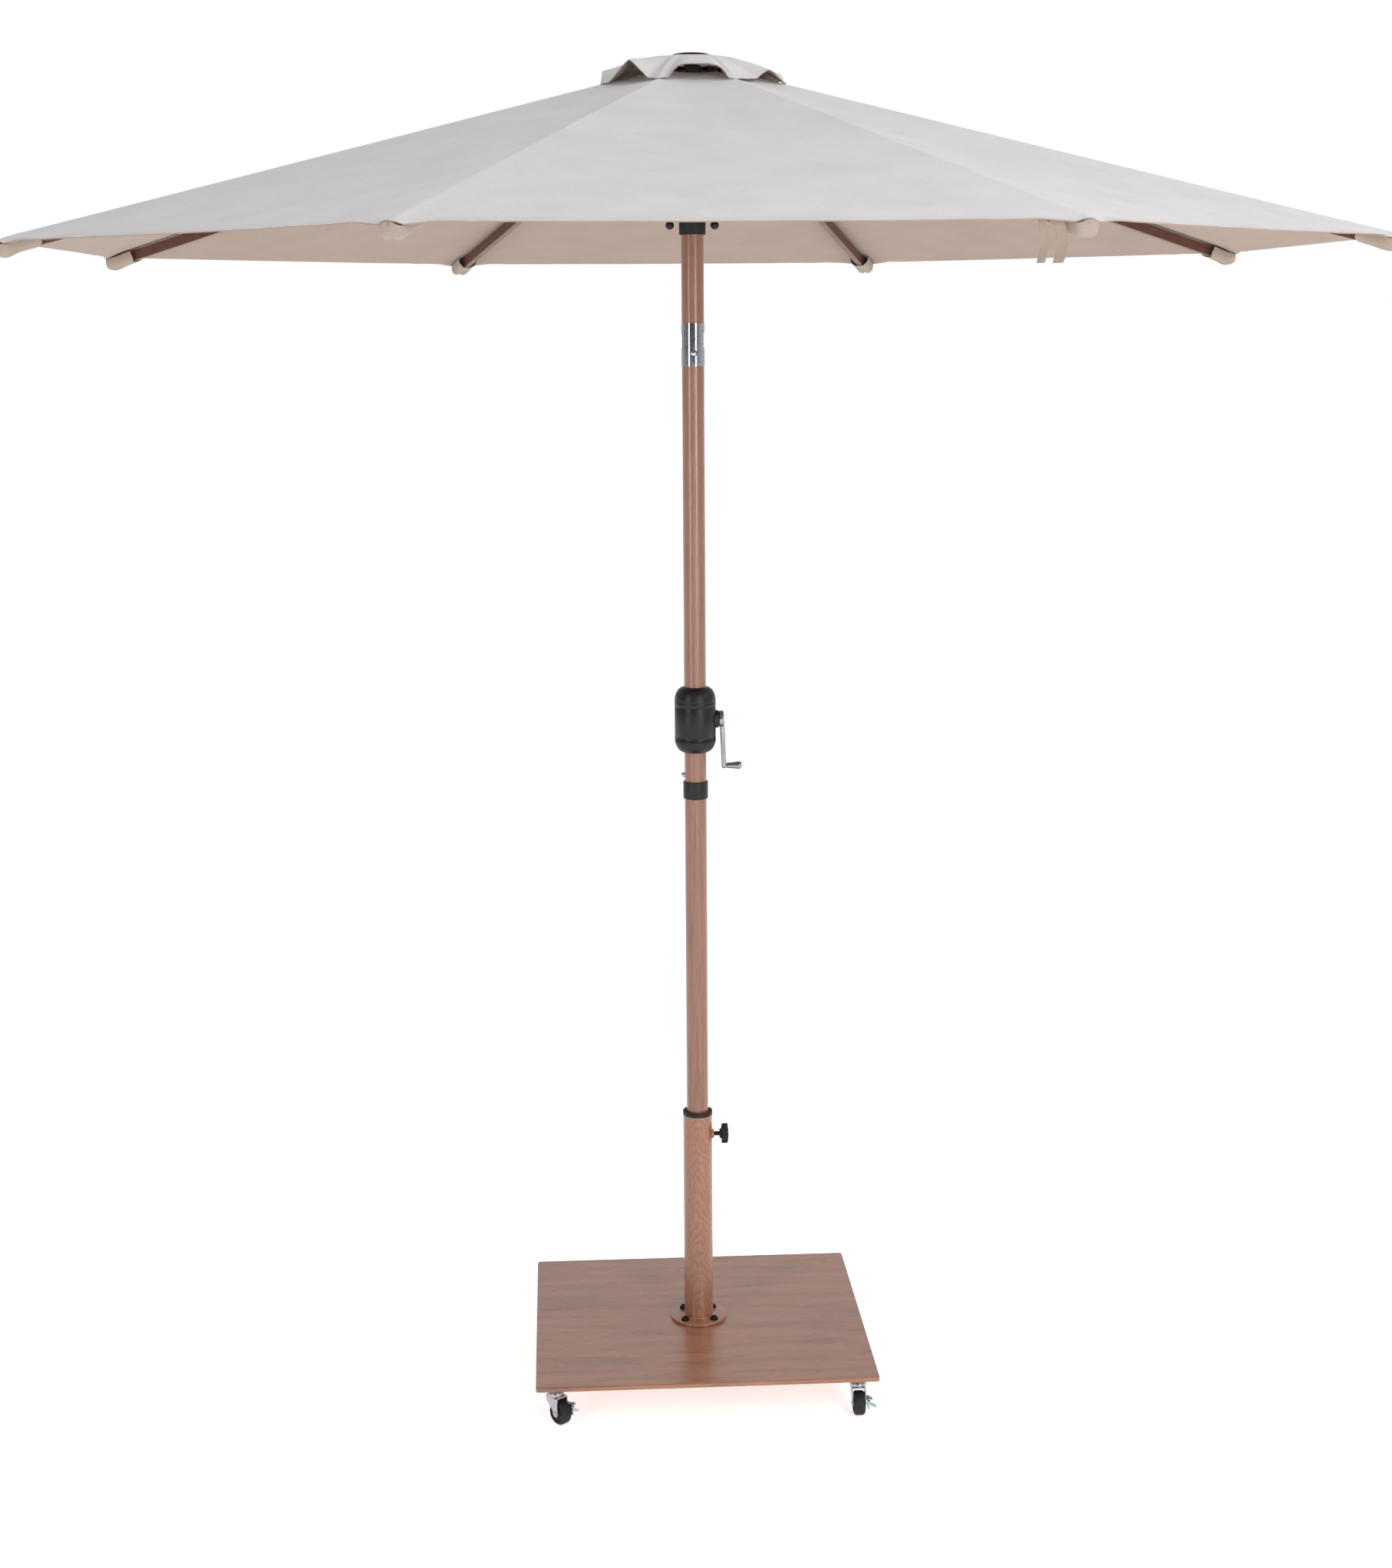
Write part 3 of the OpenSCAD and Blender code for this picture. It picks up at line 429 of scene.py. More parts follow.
def grain_film(tree, film, fibre, band, flame=None):
    """Wood-grain transfer film on powder-coated steel, baked on: fine dark pores over soft bands, under a
    clear gloss that picks up the pale room as a haze."""
    light, dark = list(film.film_light), list(film.film_dark)
    pores = clouds(tree, fibre, 5.0, Roughness=0.62)
    figure = clouds(tree, band, 3.0, Distortion=0.6)
    if flame:
        figure = add(tree, "Mix", {"Factor": 0.55, "A": figure, "B": flame}).outputs["Result"]
    half = reckon(tree, "MULTIPLY", reckon(tree, "ADD", pores, figure), 0.5)
    mid = [(a + b) / 2 for a, b in zip(light, dark)]
    colour = ramp(tree, half, (0.36, dark), (0.47, mid), (0.60, light))
    gloss = ramp(tree, pores, (0.35, 0.50), (0.65, 0.40))
    shade(
        tree, colour, gloss, pores, 0.05,
        Specular_IOR_Level=0.3, Coat_Weight=1.0, Coat_Roughness=0.26, Coat_IOR=1.62,
    )


def tube_film(tree):
    """Wood-grain film on the base tube, with a flame figure: nested arches up the front."""
    split = add(tree, "SeparateXYZ", {"Vector": stretched(tree, (15, 15, 26))})
    wobble = clouds(tree, (14, 14, 40), 2.0)
    arch = reckon(tree, "ADD", reckon(tree, "POWER", split.outputs["X"], 2.0), split.outputs["Z"])
    rings = reckon(tree, "MULTIPLY", reckon(tree, "MULTIPLY_ADD", wobble, 2.2, arch), 9.0)
    flame = reckon(tree, "MULTIPLY_ADD", reckon(tree, "SINE", rings), 0.22, 0.5)
    grain_film(tree, settings("base"), (1.0, 1.0, 15), (6, 6, 80), flame)


def woven(tree, colour, depth=0.12):
    """Plain-woven polyester canvas. The real threads are about 0.4 mm apart, too fine to show, so they are
    drawn coarser; a soft mottle breaks the face up, and a sheen gives the matt edge of cloth."""
    pitch = settings("fabric").weave / MM
    split = add(tree, "SeparateXYZ", {"Vector": stretched(tree, (pitch,) * 3, (0, 0, GORE / 2))})
    threads = [
        reckon(tree, "SINE", reckon(tree, "MULTIPLY", split.outputs[axis], 2 * math.pi)) for axis in "XY"
    ]
    mottle = clouds(tree, (90, 90, 60), 4.0)
    slubs = clouds(tree, (7, 1.6, 3), 2.0)
    half = reckon(tree, "MULTIPLY", reckon(tree, "ADD", mottle, slubs), 0.5)
    tone = ramp(tree, half, (0.38, toned(colour, 0.94)), (0.62, toned(colour, 1.04)))
    height = reckon(tree, "MULTIPLY_ADD", reckon(tree, "MULTIPLY", *threads), 0.5, slubs)
    rough = ramp(tree, slubs, (0.3, 0.92), (0.7, 0.82))
    shade(
        tree, tone, rough, height, depth,
        Specular_IOR_Level=0.25, Sheen_Weight=0.12, Sheen_Roughness=0.5,
    )


def moulded(tree, colour, roughness, grit, depth):
    """Injection-moulded plastic: a fine spark-eroded grain that spreads its highlights."""
    grain = clouds(tree, (grit,) * 3, 3.0)
    scuff = clouds(tree, (14, 14, 9), 5.0)
    rough = ramp(tree, scuff, (0.35, roughness - 0.06), (0.65, roughness + 0.07))
    tone = ramp(tree, scuff, (0.3, toned(colour, 0.85)), (0.7, toned(colour, 1.2)))
    shade(tree, tone, rough, grain, depth, Specular_IOR_Level=0.35)


def metal(tree, code, roughness, streak, depth, spread=0.08):
    """A metal face with fine marks along or across it, which vary its gloss."""
    colour = linear(code)
    marks = clouds(tree, streak, 4.0)
    rough = ramp(tree, marks, (0.35, max(0.02, roughness - spread)), (0.65, roughness + spread))
    tone = ramp(tree, marks, (0.3, toned(colour, 0.88)), (0.7, colour))
    shade(tree, tone, rough, marks, depth, Metallic=1.0)


def laid_cord(tree):
    """Twisted polyester cord, off-white."""
    strands = clouds(tree, (0.6, 0.6, 1.6), 3.0)
    tone = ramp(tree, strands, (0.3, linear("9c9184")), (0.7, linear("d6cec1")))
    shade(tree, tone, 0.85, strands, 0.15, Sheen_Weight=0.2)


def studio_floor(tree):
    """Matt painted studio floor with the faintest roller texture."""
    stipple = clouds(tree, (6, 6, 6), 3.0)
    # The glow stands for the backdrop's own light, which keeps the open floor at white
    shade(
        tree, list(settings("stage").floor), 0.75, stipple, 0.02,
        Specular_IOR_Level=0.2, Emission_Color=[1, 1, 1, 1], Emission_Strength=0.62,
    )


FINISHES = {
    # Transfer film on the mast's tubes: long fine streaks along the tube, reddish under a satin gloss
    "wood_grain_film_on_pole": lambda tree: grain_film(tree, settings("mast"), (0.9, 0.9, 22), (5, 5, 120)),
    # Transfer film on the steel plate: short pores across the plate and slow tonal bands
    "wood_grain_film_on_plate": lambda tree: grain_film(
        tree, settings("base"), (16, 1.3, 1.3), (170, 22, 22)
    ),
    # Transfer film on the base tube
    "wood_grain_film_on_base_tube": tube_film,
    # Solution-dyed polyester canvas, upper face: pale greige, matt; paler than the cloth's own beige, which
    # is painted light on the top
    "canvas_upper_painted_light": lambda tree: woven(tree, list(settings("fabric").outer), 0.09),
    # The same canvas from below, tan: the cloth's own beige with painted light through it and painted shade;
    # the cut edge has this finish too
    "canvas_underside_painted_light": lambda tree: woven(tree, list(settings("fabric").inner), 0.09),
    # Folded and stitched canvas of the hems, a little darker for being doubled
    "polyester_canvas_trim": lambda tree: woven(tree, list(settings("fabric").trim)),
    # Canvas of the corner pockets: the under face's tone, greyed as painted shade where they hang below the
    # cloth
    "polyester_canvas_pocket": lambda tree: woven(tree, linear("9b8e82")),
    # Narrow woven tape of the tie strap, closer than the canvas; its greyish tan is painted shade where it
    # hangs under the canopy
    "woven_polyester_tape": lambda tree: woven(tree, linear("98887c")),
    # Black ABS, injection moulded: satin, with soft wide highlights
    "black_abs_moulded": lambda tree: moulded(tree, list(settings("mast").plastic), 0.40, 0.7, 0.03),
    # Glass-filled black nylon of the knob, ring and hub, injection moulded: a shade rougher than ABS
    "black_nylon_moulded": lambda tree: moulded(tree, linear("131213"), 0.50, 0.9, 0.05),
    # Natural nylon of the sheaves, injection moulded: off-white and waxy
    "natural_nylon_moulded": lambda tree: moulded(tree, linear("d8d3c6"), 0.45, 0.8, 0.02),
    # Black rubber tread moulded on the casters: matt, slightly dusty
    "black_rubber_tread": lambda tree: moulded(tree, linear("19191b"), 0.62, 1.1, 0.06),
    # Bright nickel-chrome plating over a cast knuckle: mirror-like, with faint polishing haze
    "chrome_plated_steel": lambda tree: metal(tree, "b4b5bb", 0.07, (6, 6, 1.5), 0.004, 0.03),
    # Chromed die casting of the crank: softer than the plated tube
    "chromed_die_casting": lambda tree: metal(tree, "98969b", 0.16, (3, 3, 3), 0.01, 0.05),
    # Zinc-plated pressed steel of the casters: grey, brushed and cloudy
    "zinc_plated_steel": lambda tree: metal(tree, "b2b0b6", 0.30, (2, 2, 7), 0.02),
    # Blue-passivated zinc of the brake levers: cooler and shinier
    "blue_zinc_plated_steel": lambda tree: metal(tree, "9fb6bd", 0.24, (3, 3, 3), 0.015),
    # Black-oxide steel screws: dark with a dull gleam
    "black_oxide_steel": lambda tree: metal(tree, "26221f", 0.38, (1.5, 1.5, 1.5), 0.02),
    # Brown stoved enamel on the steel ribs and struts: even, with slight orange peel
    "brown_stoved_enamel": lambda tree: moulded(tree, list(settings("mast").rib_paint), 0.36, 1.6, 0.03),
    "laid_polyester_cord": laid_cord,
    "matt_studio_paint": studio_floor,
}


def finish(name):
    """The material of that name, made the first time that it is asked for."""
    found = bpy.data.materials.get(name)
    if found:
        return found
    made = bpy.data.materials.new(name)
    made.use_nodes = True
    made.node_tree.nodes.clear()
    FINISHES[name](made.node_tree)
    return made


# ---- the stage ----


class UMBRELLA_OT_stage(bpy.types.Operator):
    """Add the pale floor, the soft lights and the camera"""

    bl_idname = "umbrella.stage"
    bl_label = "Studio"

    def execute(self, context):
        stage = settings("stage")
        scene = context.scene
        scene.view_settings.view_transform = "Standard"
        world = bpy.data.worlds.new("studio_air")
        scene.world = world
        world.use_nodes = True
        tree = world.node_tree
        tree.nodes.clear()
        # The room is darker behind the camera and brighter at the far side, which models round metal
        place = add(tree, "TexCoord").outputs["Generated"]
        split = add(tree, "SeparateXYZ", {"Vector": place})
        aside = reckon(tree, "MULTIPLY_ADD", split.outputs["X"], 0.16, 0.5)
        shifted = reckon(tree, "MULTIPLY_ADD", split.outputs["Y"], 0.42, aside)
        room = ramp(tree, shifted, (0.05, 0.16), (0.40, 0.55), (0.70, 0.92))
        seen = add(tree, "LightPath").outputs["Is Camera Ray"]
        backdrop = [1 / stage.sky] * 3 + [1]
        colour = add(tree, "Mix", {"Factor": seen, "A": room, "B": backdrop}, data_type="RGBA")
        lamp = add(tree, "Background", {"Color": colour.outputs["Result"], "Strength": stage.sky})
        add(tree, "OutputWorld", {"Surface": lamp.outputs["Background"]})

        floor_mesh = bpy.data.meshes.new("studio_floor")
        work = bmesh.new()
        bmesh.ops.create_grid(work, x_segments=4, y_segments=4, size=60)
        work.to_mesh(floor_mesh)
        work.free()
        floor = bpy.data.objects.new("studio_floor", floor_mesh)
        floor_mesh.materials.append(finish("matt_studio_paint"))
        scene.collection.objects.link(floor)

        # name, share of the key light's power, width, height, place and the point it is aimed at, in metres
        soft_boxes = [
            ("key_box", 0.9, 0.7, 2.6, (1.7, -3.4, 2.2), (0, 0, 1.2)),
            ("edge_box", 0.55, 0.5, 2.6, (-2.4, -2.6, 1.9), (0, 0, 1.2)),
            ("top_box", 1.35, 3.0, 3.0, (3.6, -1.6, 4.6), (0, 0, 1.4)),
            ("low_box", 0.25, 3.2, 1.4, (0.3, -4.6, 0.9), (0, 0, 1.0)),
        ]
        for name, share, width, height, place, aim in soft_boxes:
            data = bpy.data.lights.new(name, "AREA")
            data.shape = "RECTANGLE"
            data.size, data.size_y = width, height
            data.energy = stage.key_power * share
            lamp_object = bpy.data.objects.new(name, data)
            lamp_object.location = place
            lamp_object.rotation_euler = (Vector(aim) - Vector(place)).to_track_quat("-Z", "Y").to_euler()
            scene.collection.objects.link(lamp_object)

        # The camera stands a little to the left of the front and looks slightly down
        distance, height = 3.978, 1.829
        bearing, pitch, roll = math.radians(-3.4), math.radians(-6.5), math.radians(-0.35)
        data = bpy.data.cameras.new("camera")
        data.lens = stage.lens
        data.sensor_width = 36
        data.shift_x = 0.001
        data.shift_y = -0.125
        camera = bpy.data.objects.new("camera", data)
        camera.matrix_world = (
            Matrix.Rotation(bearing, 4, "Z")
            @ Matrix.Translation((0, -distance, height))
            @ Matrix.Rotation(math.pi / 2 + pitch, 4, "X")
            @ Matrix.Rotation(roll, 4, "Z")
        )
        scene.collection.objects.link(camera)
        scene.camera = camera
        return {"FINISHED"}


# ---- the rolling base ----


def rounded_rectangle(width, depth, radius, steps=8):
    """The outline of a rectangle round the origin, with rounded corners."""
    points = []
    for quarter, (sx, sy) in enumerate([(1, 1), (-1, 1), (-1, -1), (1, -1)]):
        for k in range(steps + 1):
            angle = math.pi / 2 * (quarter + k / steps)
            points.append((
                sx * (width / 2 - radius) + radius * math.cos(angle),
                sy * (depth / 2 - radius) + radius * math.sin(angle),
            ))
    return points


class UMBRELLA_OT_plate(bpy.types.Operator):
    """Add the rectangular steel plate with its rounded edges"""

    bl_idname = "umbrella.plate"
    bl_label = "Base plate"

    def execute(self, context):
        low, high = span("base_plate")
        width, depth = (high - low)[:2]
        edge = settings("base").edge / MM
        corner = 6
        slab = prism(rounded_rectangle(width, depth, corner), low[2], high[2], edge, 4, 1.2)
        piece("plate_with_grain", slab, "wood_grain_film_on_plate", "base", ["base_plate"])
        return {"FINISHED"}


class UMBRELLA_OT_base_tube(bpy.types.Operator):
    """Add the upright tube with its flange, screws, mouth ring and clamp"""

    bl_idname = "umbrella.base_tube"
    bl_label = "Base tube"

    def execute(self, context):
        foot, top = span("base_tube")
        floor_z, tube_top, flange_r = foot[2], top[2], -foot[0]
        seat = floor_z + FLANGE_T
        clamp_z = axis_of("clamp_knob")[2]
        body = lathe(rounded([
            (TUBE_BORE_R, floor_z, 0), (flange_r, floor_z, 0.8), (flange_r, seat, 1.6), (TUBE_R, seat, 2.2),
            (TUBE_R, tube_top, 0.5), (TUBE_BORE_R, tube_top, 0.5),
        ]), 96, True)
        boss = turned(lathe(rounded([
            (0, -2, 0), (8, -2, 0), (8, 3.9, 1.0), (4.2, 3.9, 0.3), (4.2, 0.5, 0), (0, 0.5, 0),
        ]), 40), along_x(24.5, 0, clamp_z))
        piece(
            "flanged_tube", join(body, boss), "wood_grain_film_on_base_tube", "base", ["base_tube"],
        )

        head_r = 7
        head = lathe(rounded([
            (0, seat - 1, 0), (head_r, seat - 1, 0), (head_r, seat + 1.4, 0.5), (5.6, seat + 5.2, 1.6),
            (2.8, seat + 5.4, 0.3), (2.4, seat + 2.6, 0), (0, seat + 2.6, 0),
        ]), 40)
        reach = span("flange_screws")[1][0] - head_r
        heads = [
            turned(head, Matrix.Translation((x * reach, y * reach, 0))) for x in (-1, 1) for y in (-1, 1)
        ]
        piece(
            "flange_screw_heads", join(*heads), "black_oxide_steel", "base", ["flange_screws"]
        )

        low, high = span("tube_collar")
        rim, inside, outside = high[0], POLE_R + 0.12, TUBE_BORE_R - 0.05
        mouth = lathe(rounded([
            (inside, low[2], 0), (outside, low[2], 0.5), (outside, tube_top + 0.05, 0),
            (rim, tube_top + 0.05, 0.4), (rim, high[2], 1.3), (rim - 2.6, high[2], 0.6),
            (POLE_R + 1.6, high[2] - 2.4, 0.5), (inside, high[2] - 3.2, 0.3),
        ]), 96, True)
        piece("mouth_ring", mouth, "black_nylon_moulded", "base", ["tube_collar"])
        paint("black_nylon_moulded", "black_plastic", "clamp_pad")

        low, high = span("clamp_knob")
        lobe = settings("base").knob_lobe / MM
        radius = (high[2] - low[2]) / 2
        start = high[0] - 15.5
        outline = []
        for k in range(120):
            angle = 2 * math.pi * k / 120
            reach = radius - lobe + lobe * math.cos(6 * angle)
            outline.append((reach * math.cos(angle), reach * math.sin(angle)))
        grip = prism(outline, start + 3.4, high[0] - 0.9, 2.2, 4, 1.5)
        collar = lathe(rounded([
            (0, start, 0), (8, start, 0.8), (9.4, start + 4.2, 0.5), (0, start + 4.2, 0)
        ]), 40)
        cap = lathe(rounded([
            (0, high[0] - 1.2, 0), (9.5, high[0] - 1.2, 0), (9.0, high[0], 0.6), (0, high[0], 0)
        ]), 40)
        thread = [(0, low[0])]
        x = low[0]
        while x < start - THREAD_PITCH:
            thread += [(3.45, x + 0.1), (4.0, x + 0.5), (4.0, x + 0.75), (3.45, x + 1.15)]
            x += THREAD_PITCH
        shank = lathe(thread + [(3.9, start), (3.9, start + 1), (0, start + 1)], 28)
        knob = turned(join(grip, collar, cap, shank), along_x(0, 0, clamp_z))
        piece(
            "clamp_knob_lobed", knob, "black_nylon_moulded", "clamp_screw", ["clamp_knob"],
            40,
        )
        return {"FINISHED"}


class UMBRELLA_OT_casters(bpy.types.Operator):
    """Add four swivelling casters: stems, pressed forks and wheels"""

    bl_idname = "umbrella.casters"
    bl_label = "Casters"

    def execute(self, context):
        inset = 33
        reach_x, reach_y = span("base_plate")[1][:2] - inset
        # place of each caster and its turn in degrees
        places = [(-1, -1, 40), (1, -1, 0), (1, 1, 155), (-1, 1, 200)]
        stems = []
        hexagon = [(6.4 * math.cos(a), 6.4 * math.sin(a)) for a in (math.pi / 3 * k for k in range(6))]
        for number, (sx, sy, degrees) in enumerate(places, 1):
            there = Matrix.Translation((sx * reach_x, sy * reach_y, 0))
            swivel = there @ Matrix.Rotation(math.radians(degrees), 4, "Z")
            nut = prism(hexagon, 60.9, 64.9, 0.5, 2, 0.4)
            washer = lathe(rounded([(0, 60.2, 0), (8.6, 60.2, 0.3), (8.6, 61.1, 0.3), (0, 61.1, 0)]), 40)
            pin = lathe(rounded([
                (0, 43.6, 0), (6.3, 43.6, 0.6), (6.3, 45.1, 0.3), (4, 45.1, 0), (4, 66, 0), (0, 66, 0),
            ]), 32)
            stems.append(turned(join(nut, washer, pin), there))
            self.fork(number, swivel)
            self.wheel(number, swivel)
            if number <= 2:
                paint("blue_zinc_plated_steel", "zinc", f"caster_brake_{number}")
        piece("caster_stems_and_nuts", join(*stems), "zinc_plated_steel", "base", ["caster_stems"])
        return {"FINISHED"}

    def fork(self, number, swivel):
        """One pressed fork: a U of sheet with rounded shoulders, a domed race and riveted axle ends."""
        half, crown, sheet, shoulder = 11.85, 47.5, 1.6, 3.2
        cheek_r = 6
        path = [(-half, z) for z in np.linspace(14.3, crown - shoulder, 22)]
        for k in range(1, 6):
            angle = math.pi / 2 * k / 5
            path.append((-half + shoulder * (1 - math.cos(angle)), crown - shoulder * (1 - math.sin(angle))))
        path += [(x, crown) for x in np.linspace(-half + shoulder, 0, 5)[1:]]
        path += [(-x, z) for x, z in reversed(path[:-1])]
        rows = []
        for x, z in path:
            rise = min(1, max(0, (z - AXLE_Z) / (crown - 6 - AXLE_Z)))
            curve = rise * rise * (3 - 2 * rise)
            back, front = -CASTER_TRAIL - cheek_r + 1.5 * rise, -CASTER_TRAIL + cheek_r + 17.4 * curve
            if z < AXLE_Z:
                reach = math.sqrt(max(0.02, cheek_r ** 2 - (z - AXLE_Z) ** 2))
                back, front = -CASTER_TRAIL - reach, -CASTER_TRAIL + reach
            rows.append([(x, back + (front - back) * t, z) for t in np.linspace(0, 1, 9)])
        grid = np.array(rows)
        pressed = shell(grid, np.full(grid.shape[:2], sheet))[0]
        race = lathe(rounded([
            (4.2, crown - 0.6, 0), (13.9, crown - 0.6, 0), (13.9, crown + 3.6, 2.6), (10.2, 57.2, 2.0),
            (8.4, 57.2, 0.6), (7.2, 55.6, 0.4), (4.2, 55.6, 0),
        ]), 56, True)
        rivet = lathe(rounded([
            (0, -0.4, 0), (3.4, -0.4, 0), (3.4, 1.0, 0.7), (1.6, 1.3, 0.2), (1.2, 0.7, 0), (0, 0.7, 0),
        ]), 28)
        ends = [
            turned(
                rivet,
                Matrix.Translation((side * half, -CASTER_TRAIL, AXLE_Z))
                @ Matrix.Rotation(side * math.pi / 2, 4, "Y"),
            )
            for side in (-1, 1)
        ]
        pin = lathe([(0, -half), (2.9, -half), (2.9, half), (0, half)], 24)
        axle = turned(pin, along_x(0, -CASTER_TRAIL, AXLE_Z))
        parts = [pressed, race, axle, *ends]
        if number <= 2:
            lug = prism([(-3.2, -3), (5.6, -3), (5.6, 3), (-3.2, 3)], -18.6, -12.2, 0.5, 2, 0.4)
            lug_turn = Matrix.Translation((half, 0, 30)) @ Matrix.Rotation(-math.pi / 2, 4, "X")
            parts.append(turned(lug, lug_turn))
        shape = turned(join(*parts), swivel)
        piece(
            f"fork_pressed_{number}", shape, "zinc_plated_steel", f"caster_{number}",
            [f"caster_fork_{number}"], 40,
        )

    def wheel(self, number, swivel):
        """One wheel: a rounded tread, a dished face and a hub."""
        width = 9.5
        half_profile = [
            (3.15, width - 0.6, 0.2), (6.2, width - 0.6, 0.5), (6.8, width - 2.6, 0.6),
            (13.2, width - 2.6, 1.0), (14.6, width - 0.3, 0.6), (16.8, width, 0.8), (20, width - 3.2, 2.6),
        ]
        profile = rounded(half_profile + [(r, -z, c) for r, z, c in reversed(half_profile)], 4)
        spun = turned(lathe(profile, 72, True), along_x(0, -CASTER_TRAIL, AXLE_Z))
        piece(
            f"wheel_moulded_{number}", turned(spun, swivel), "black_rubber_tread", f"wheel_{number}",
            [f"caster_wheel_{number}"],
        )


# ---- the mast ----


class UMBRELLA_OT_poles(bpy.types.Operator):
    """Finish the three tubes of the mast and add the rounded collar"""

    bl_idname = "umbrella.poles"
    bl_label = "Poles"

    def execute(self, context):
        paint("wood_grain_film_on_pole", "pole_woodgrain", "lower_pole", "crank_pole", "upper_pole")
        paint("black_nylon_moulded", "black_plastic", "pole_foot")
        paint("chrome_plated_steel", "chrome", "snap_button")
        low, high = span("pole_collar")
        edge = settings("mast").collar_edge / MM
        inside = POLE_R + 0.05
        ring = lathe(rounded([
            (inside, low[2], 0.3), (high[0], low[2], edge), (high[0], high[2], edge), (inside, high[2], 0.3),
        ], 5), 96, True)
        piece("joint_collar", ring, "black_abs_moulded", "mast", ["pole_collar"])
        return {"FINISHED"}


class UMBRELLA_OT_crank(bpy.types.Operator):
    """Add the crank housing, its arm and its grip"""

    bl_idname = "umbrella.crank"
    bl_label = "Crank"

    def execute(self, context):
        low, high = span("housing_front")
        radius, boss_end, axis_z = -low[0], high[0], axis_of("crank_spool")[2]
        dome, groove, inside = 24, 0.55, POLE_R + 0.2

        def dome_points(end_z, upward, order):
            """The quarter ellipse that closes one end of the barrel."""
            angles = [math.pi / 2 * k / 12 for k in order]
            return [
                (inside + (radius - inside) * math.sin(a), end_z + upward * dome * (1 - math.cos(a)))
                for a in angles
            ]

        barrel = dome_points(low[2], 1, range(13))
        groove_heights = (1110.5, 1118.6, 1171.2, 1180.0)
        for z in groove_heights:
            floor_r = radius - groove
            barrel += [(radius, z - 1.2), (floor_r, z - 0.4), (floor_r, z + 0.4), (radius, z + 1.2)]
        barrel += dome_points(high[2], -1, range(12, -1, -1))
        gap = math.radians(0.5)
        halves = {
            side: lathe(barrel, 60, True, start + gap, math.pi - 2 * gap)
            for side, start in (("front", math.pi), ("back", 0.0))
        }
        boss_r, boss_bore_r, boss_l = 15.5, 5.2, boss_end - 30
        boss = turned(lathe(rounded([
            (boss_bore_r, 0, 0), (boss_r, 0, 0), (boss_r, boss_l, 1.2), (boss_bore_r, boss_l, 0.4),
        ]), 56, True), along_x(30, 0, axis_z))
        for side, shape in (("front", join(halves["front"], boss)), ("back", halves["back"])):
            piece(
                f"housing_shell_{side}", shape, "black_abs_moulded", "mast", [f"housing_{side}"],
            )

        grip_low, grip_high = span("crank_grip")
        grip_z = axis_of("crank_grip")[2]
        start = boss_end + 0.3
        disc = turned(lathe(rounded([
            (0, 0, 0), (13.4, 0, 0.4), (14.5, 1.4, 0.6), (14.5, 8.4, 1.8), (5.2, 10.5, 1.0),
            (4.6, 9.2, 0.4), (0, 9.0, 0),
        ], 5), 72), along_x(start, 0, axis_z))
        length = axis_z - grip_z
        # the bar narrows from the disc to the grip's pin and leans outwards on the way
        wide, narrow, lean_out = 7, 5, 3
        outline = []
        for k in range(13):
            angle = math.pi * k / 12
            outline.append((wide * math.cos(angle), wide * math.sin(angle)))
        for k in range(13):
            angle = math.pi * (1 + k / 12)
            outline.append((narrow * math.cos(angle), narrow * math.sin(angle) - length))
        bar = prism(outline, 0, 8, 2.4, 5, 0.5)
        lean = Matrix(((0, -lean_out / length, 1, start + 2), (1, 0, 0, 0), (0, 1, 0, axis_z), (0, 0, 0, 1)))
        arm = turned(bar, lean)
        pin_start = start + 2 + lean_out + 6
        head_start, head_end = grip_high[0] - 2.4 - pin_start, grip_high[0] - 0.2 - pin_start
        pin = turned(lathe(rounded([
            (0, 0, 0), (2.5, 0, 0), (2.5, head_start, 0), (3.8, head_start, 0.2), (3.8, head_end, 0.8),
            (0, head_end, 0),
        ]), 32), along_x(pin_start, 0, grip_z))
        piece(
            "crank_arm_cast", join(disc, arm, pin), "chromed_die_casting", "crank", ["crank_arm"],
            38,
        )

        length = grip_high[0] - grip_low[0]
        handle = turned(lathe(rounded([
            (2.6, 0, 0), (4.9, 0, 0.7), (5.4, length * 0.4, 8), (6.9, length - 4.5, 3), (5.8, length, 1.5),
            (4.0, length, 0.3), (4.0, length - 2.9, 0), (2.6, length - 2.9, 0),
        ], 6), 56, True), along_x(grip_low[0], 0, grip_z))
        piece("crank_grip_turned", handle, "chromed_die_casting", "grip", ["crank_grip"])
        paint("chromed_die_casting", "chrome", "crank_spool")
        return {"FINISHED"}


class UMBRELLA_OT_tilt_joint(bpy.types.Operator):
    """Finish the tilt joint's knuckles, rivets and button"""

    bl_idname = "umbrella.tilt_joint"
    bl_label = "Tilt joint"

    def execute(self, context):
        paint(
            "chrome_plated_steel", "chrome",
            "tilt_lower_knuckle", "tilt_upper_knuckle", "tilt_rivets", "tilt_button",
        )
        return {"FINISHED"}


class UMBRELLA_OT_hub(bpy.types.Operator):
    """Finish the hub and the runner, and add the finial"""

    bl_idname = "umbrella.hub"
    bl_label = "Hub and runner"

    def execute(self, context):
        paint("black_nylon_moulded", "black_plastic", "top_hub", "runner", "cord_beads")
        paint("natural_nylon_moulded", "nylon", "pulley_right", "pulley_left")
        low, high = span("finial")
        radius, base_z, top_z, stem_r = high[0], high[2] - 8, high[2], 12
        cap = [(0, low[2]), (stem_r, low[2]), (stem_r, base_z)]
        cap += rounded([(stem_r, base_z, 0), (radius, base_z, 0.8), (radius, base_z + 3.2, 1.4)], 3)[1:]
        dome_z = base_z + 4
        for k in range(1, 11):
            angle = math.pi / 2 * (k / 10)
            cap.append((radius * math.cos(angle), dome_z + (top_z - dome_z) * math.sin(angle)))
        piece("finial_cap", lathe(cap, 80), "black_abs_moulded", "upper_mast", ["finial"])
        return {"FINISHED"}


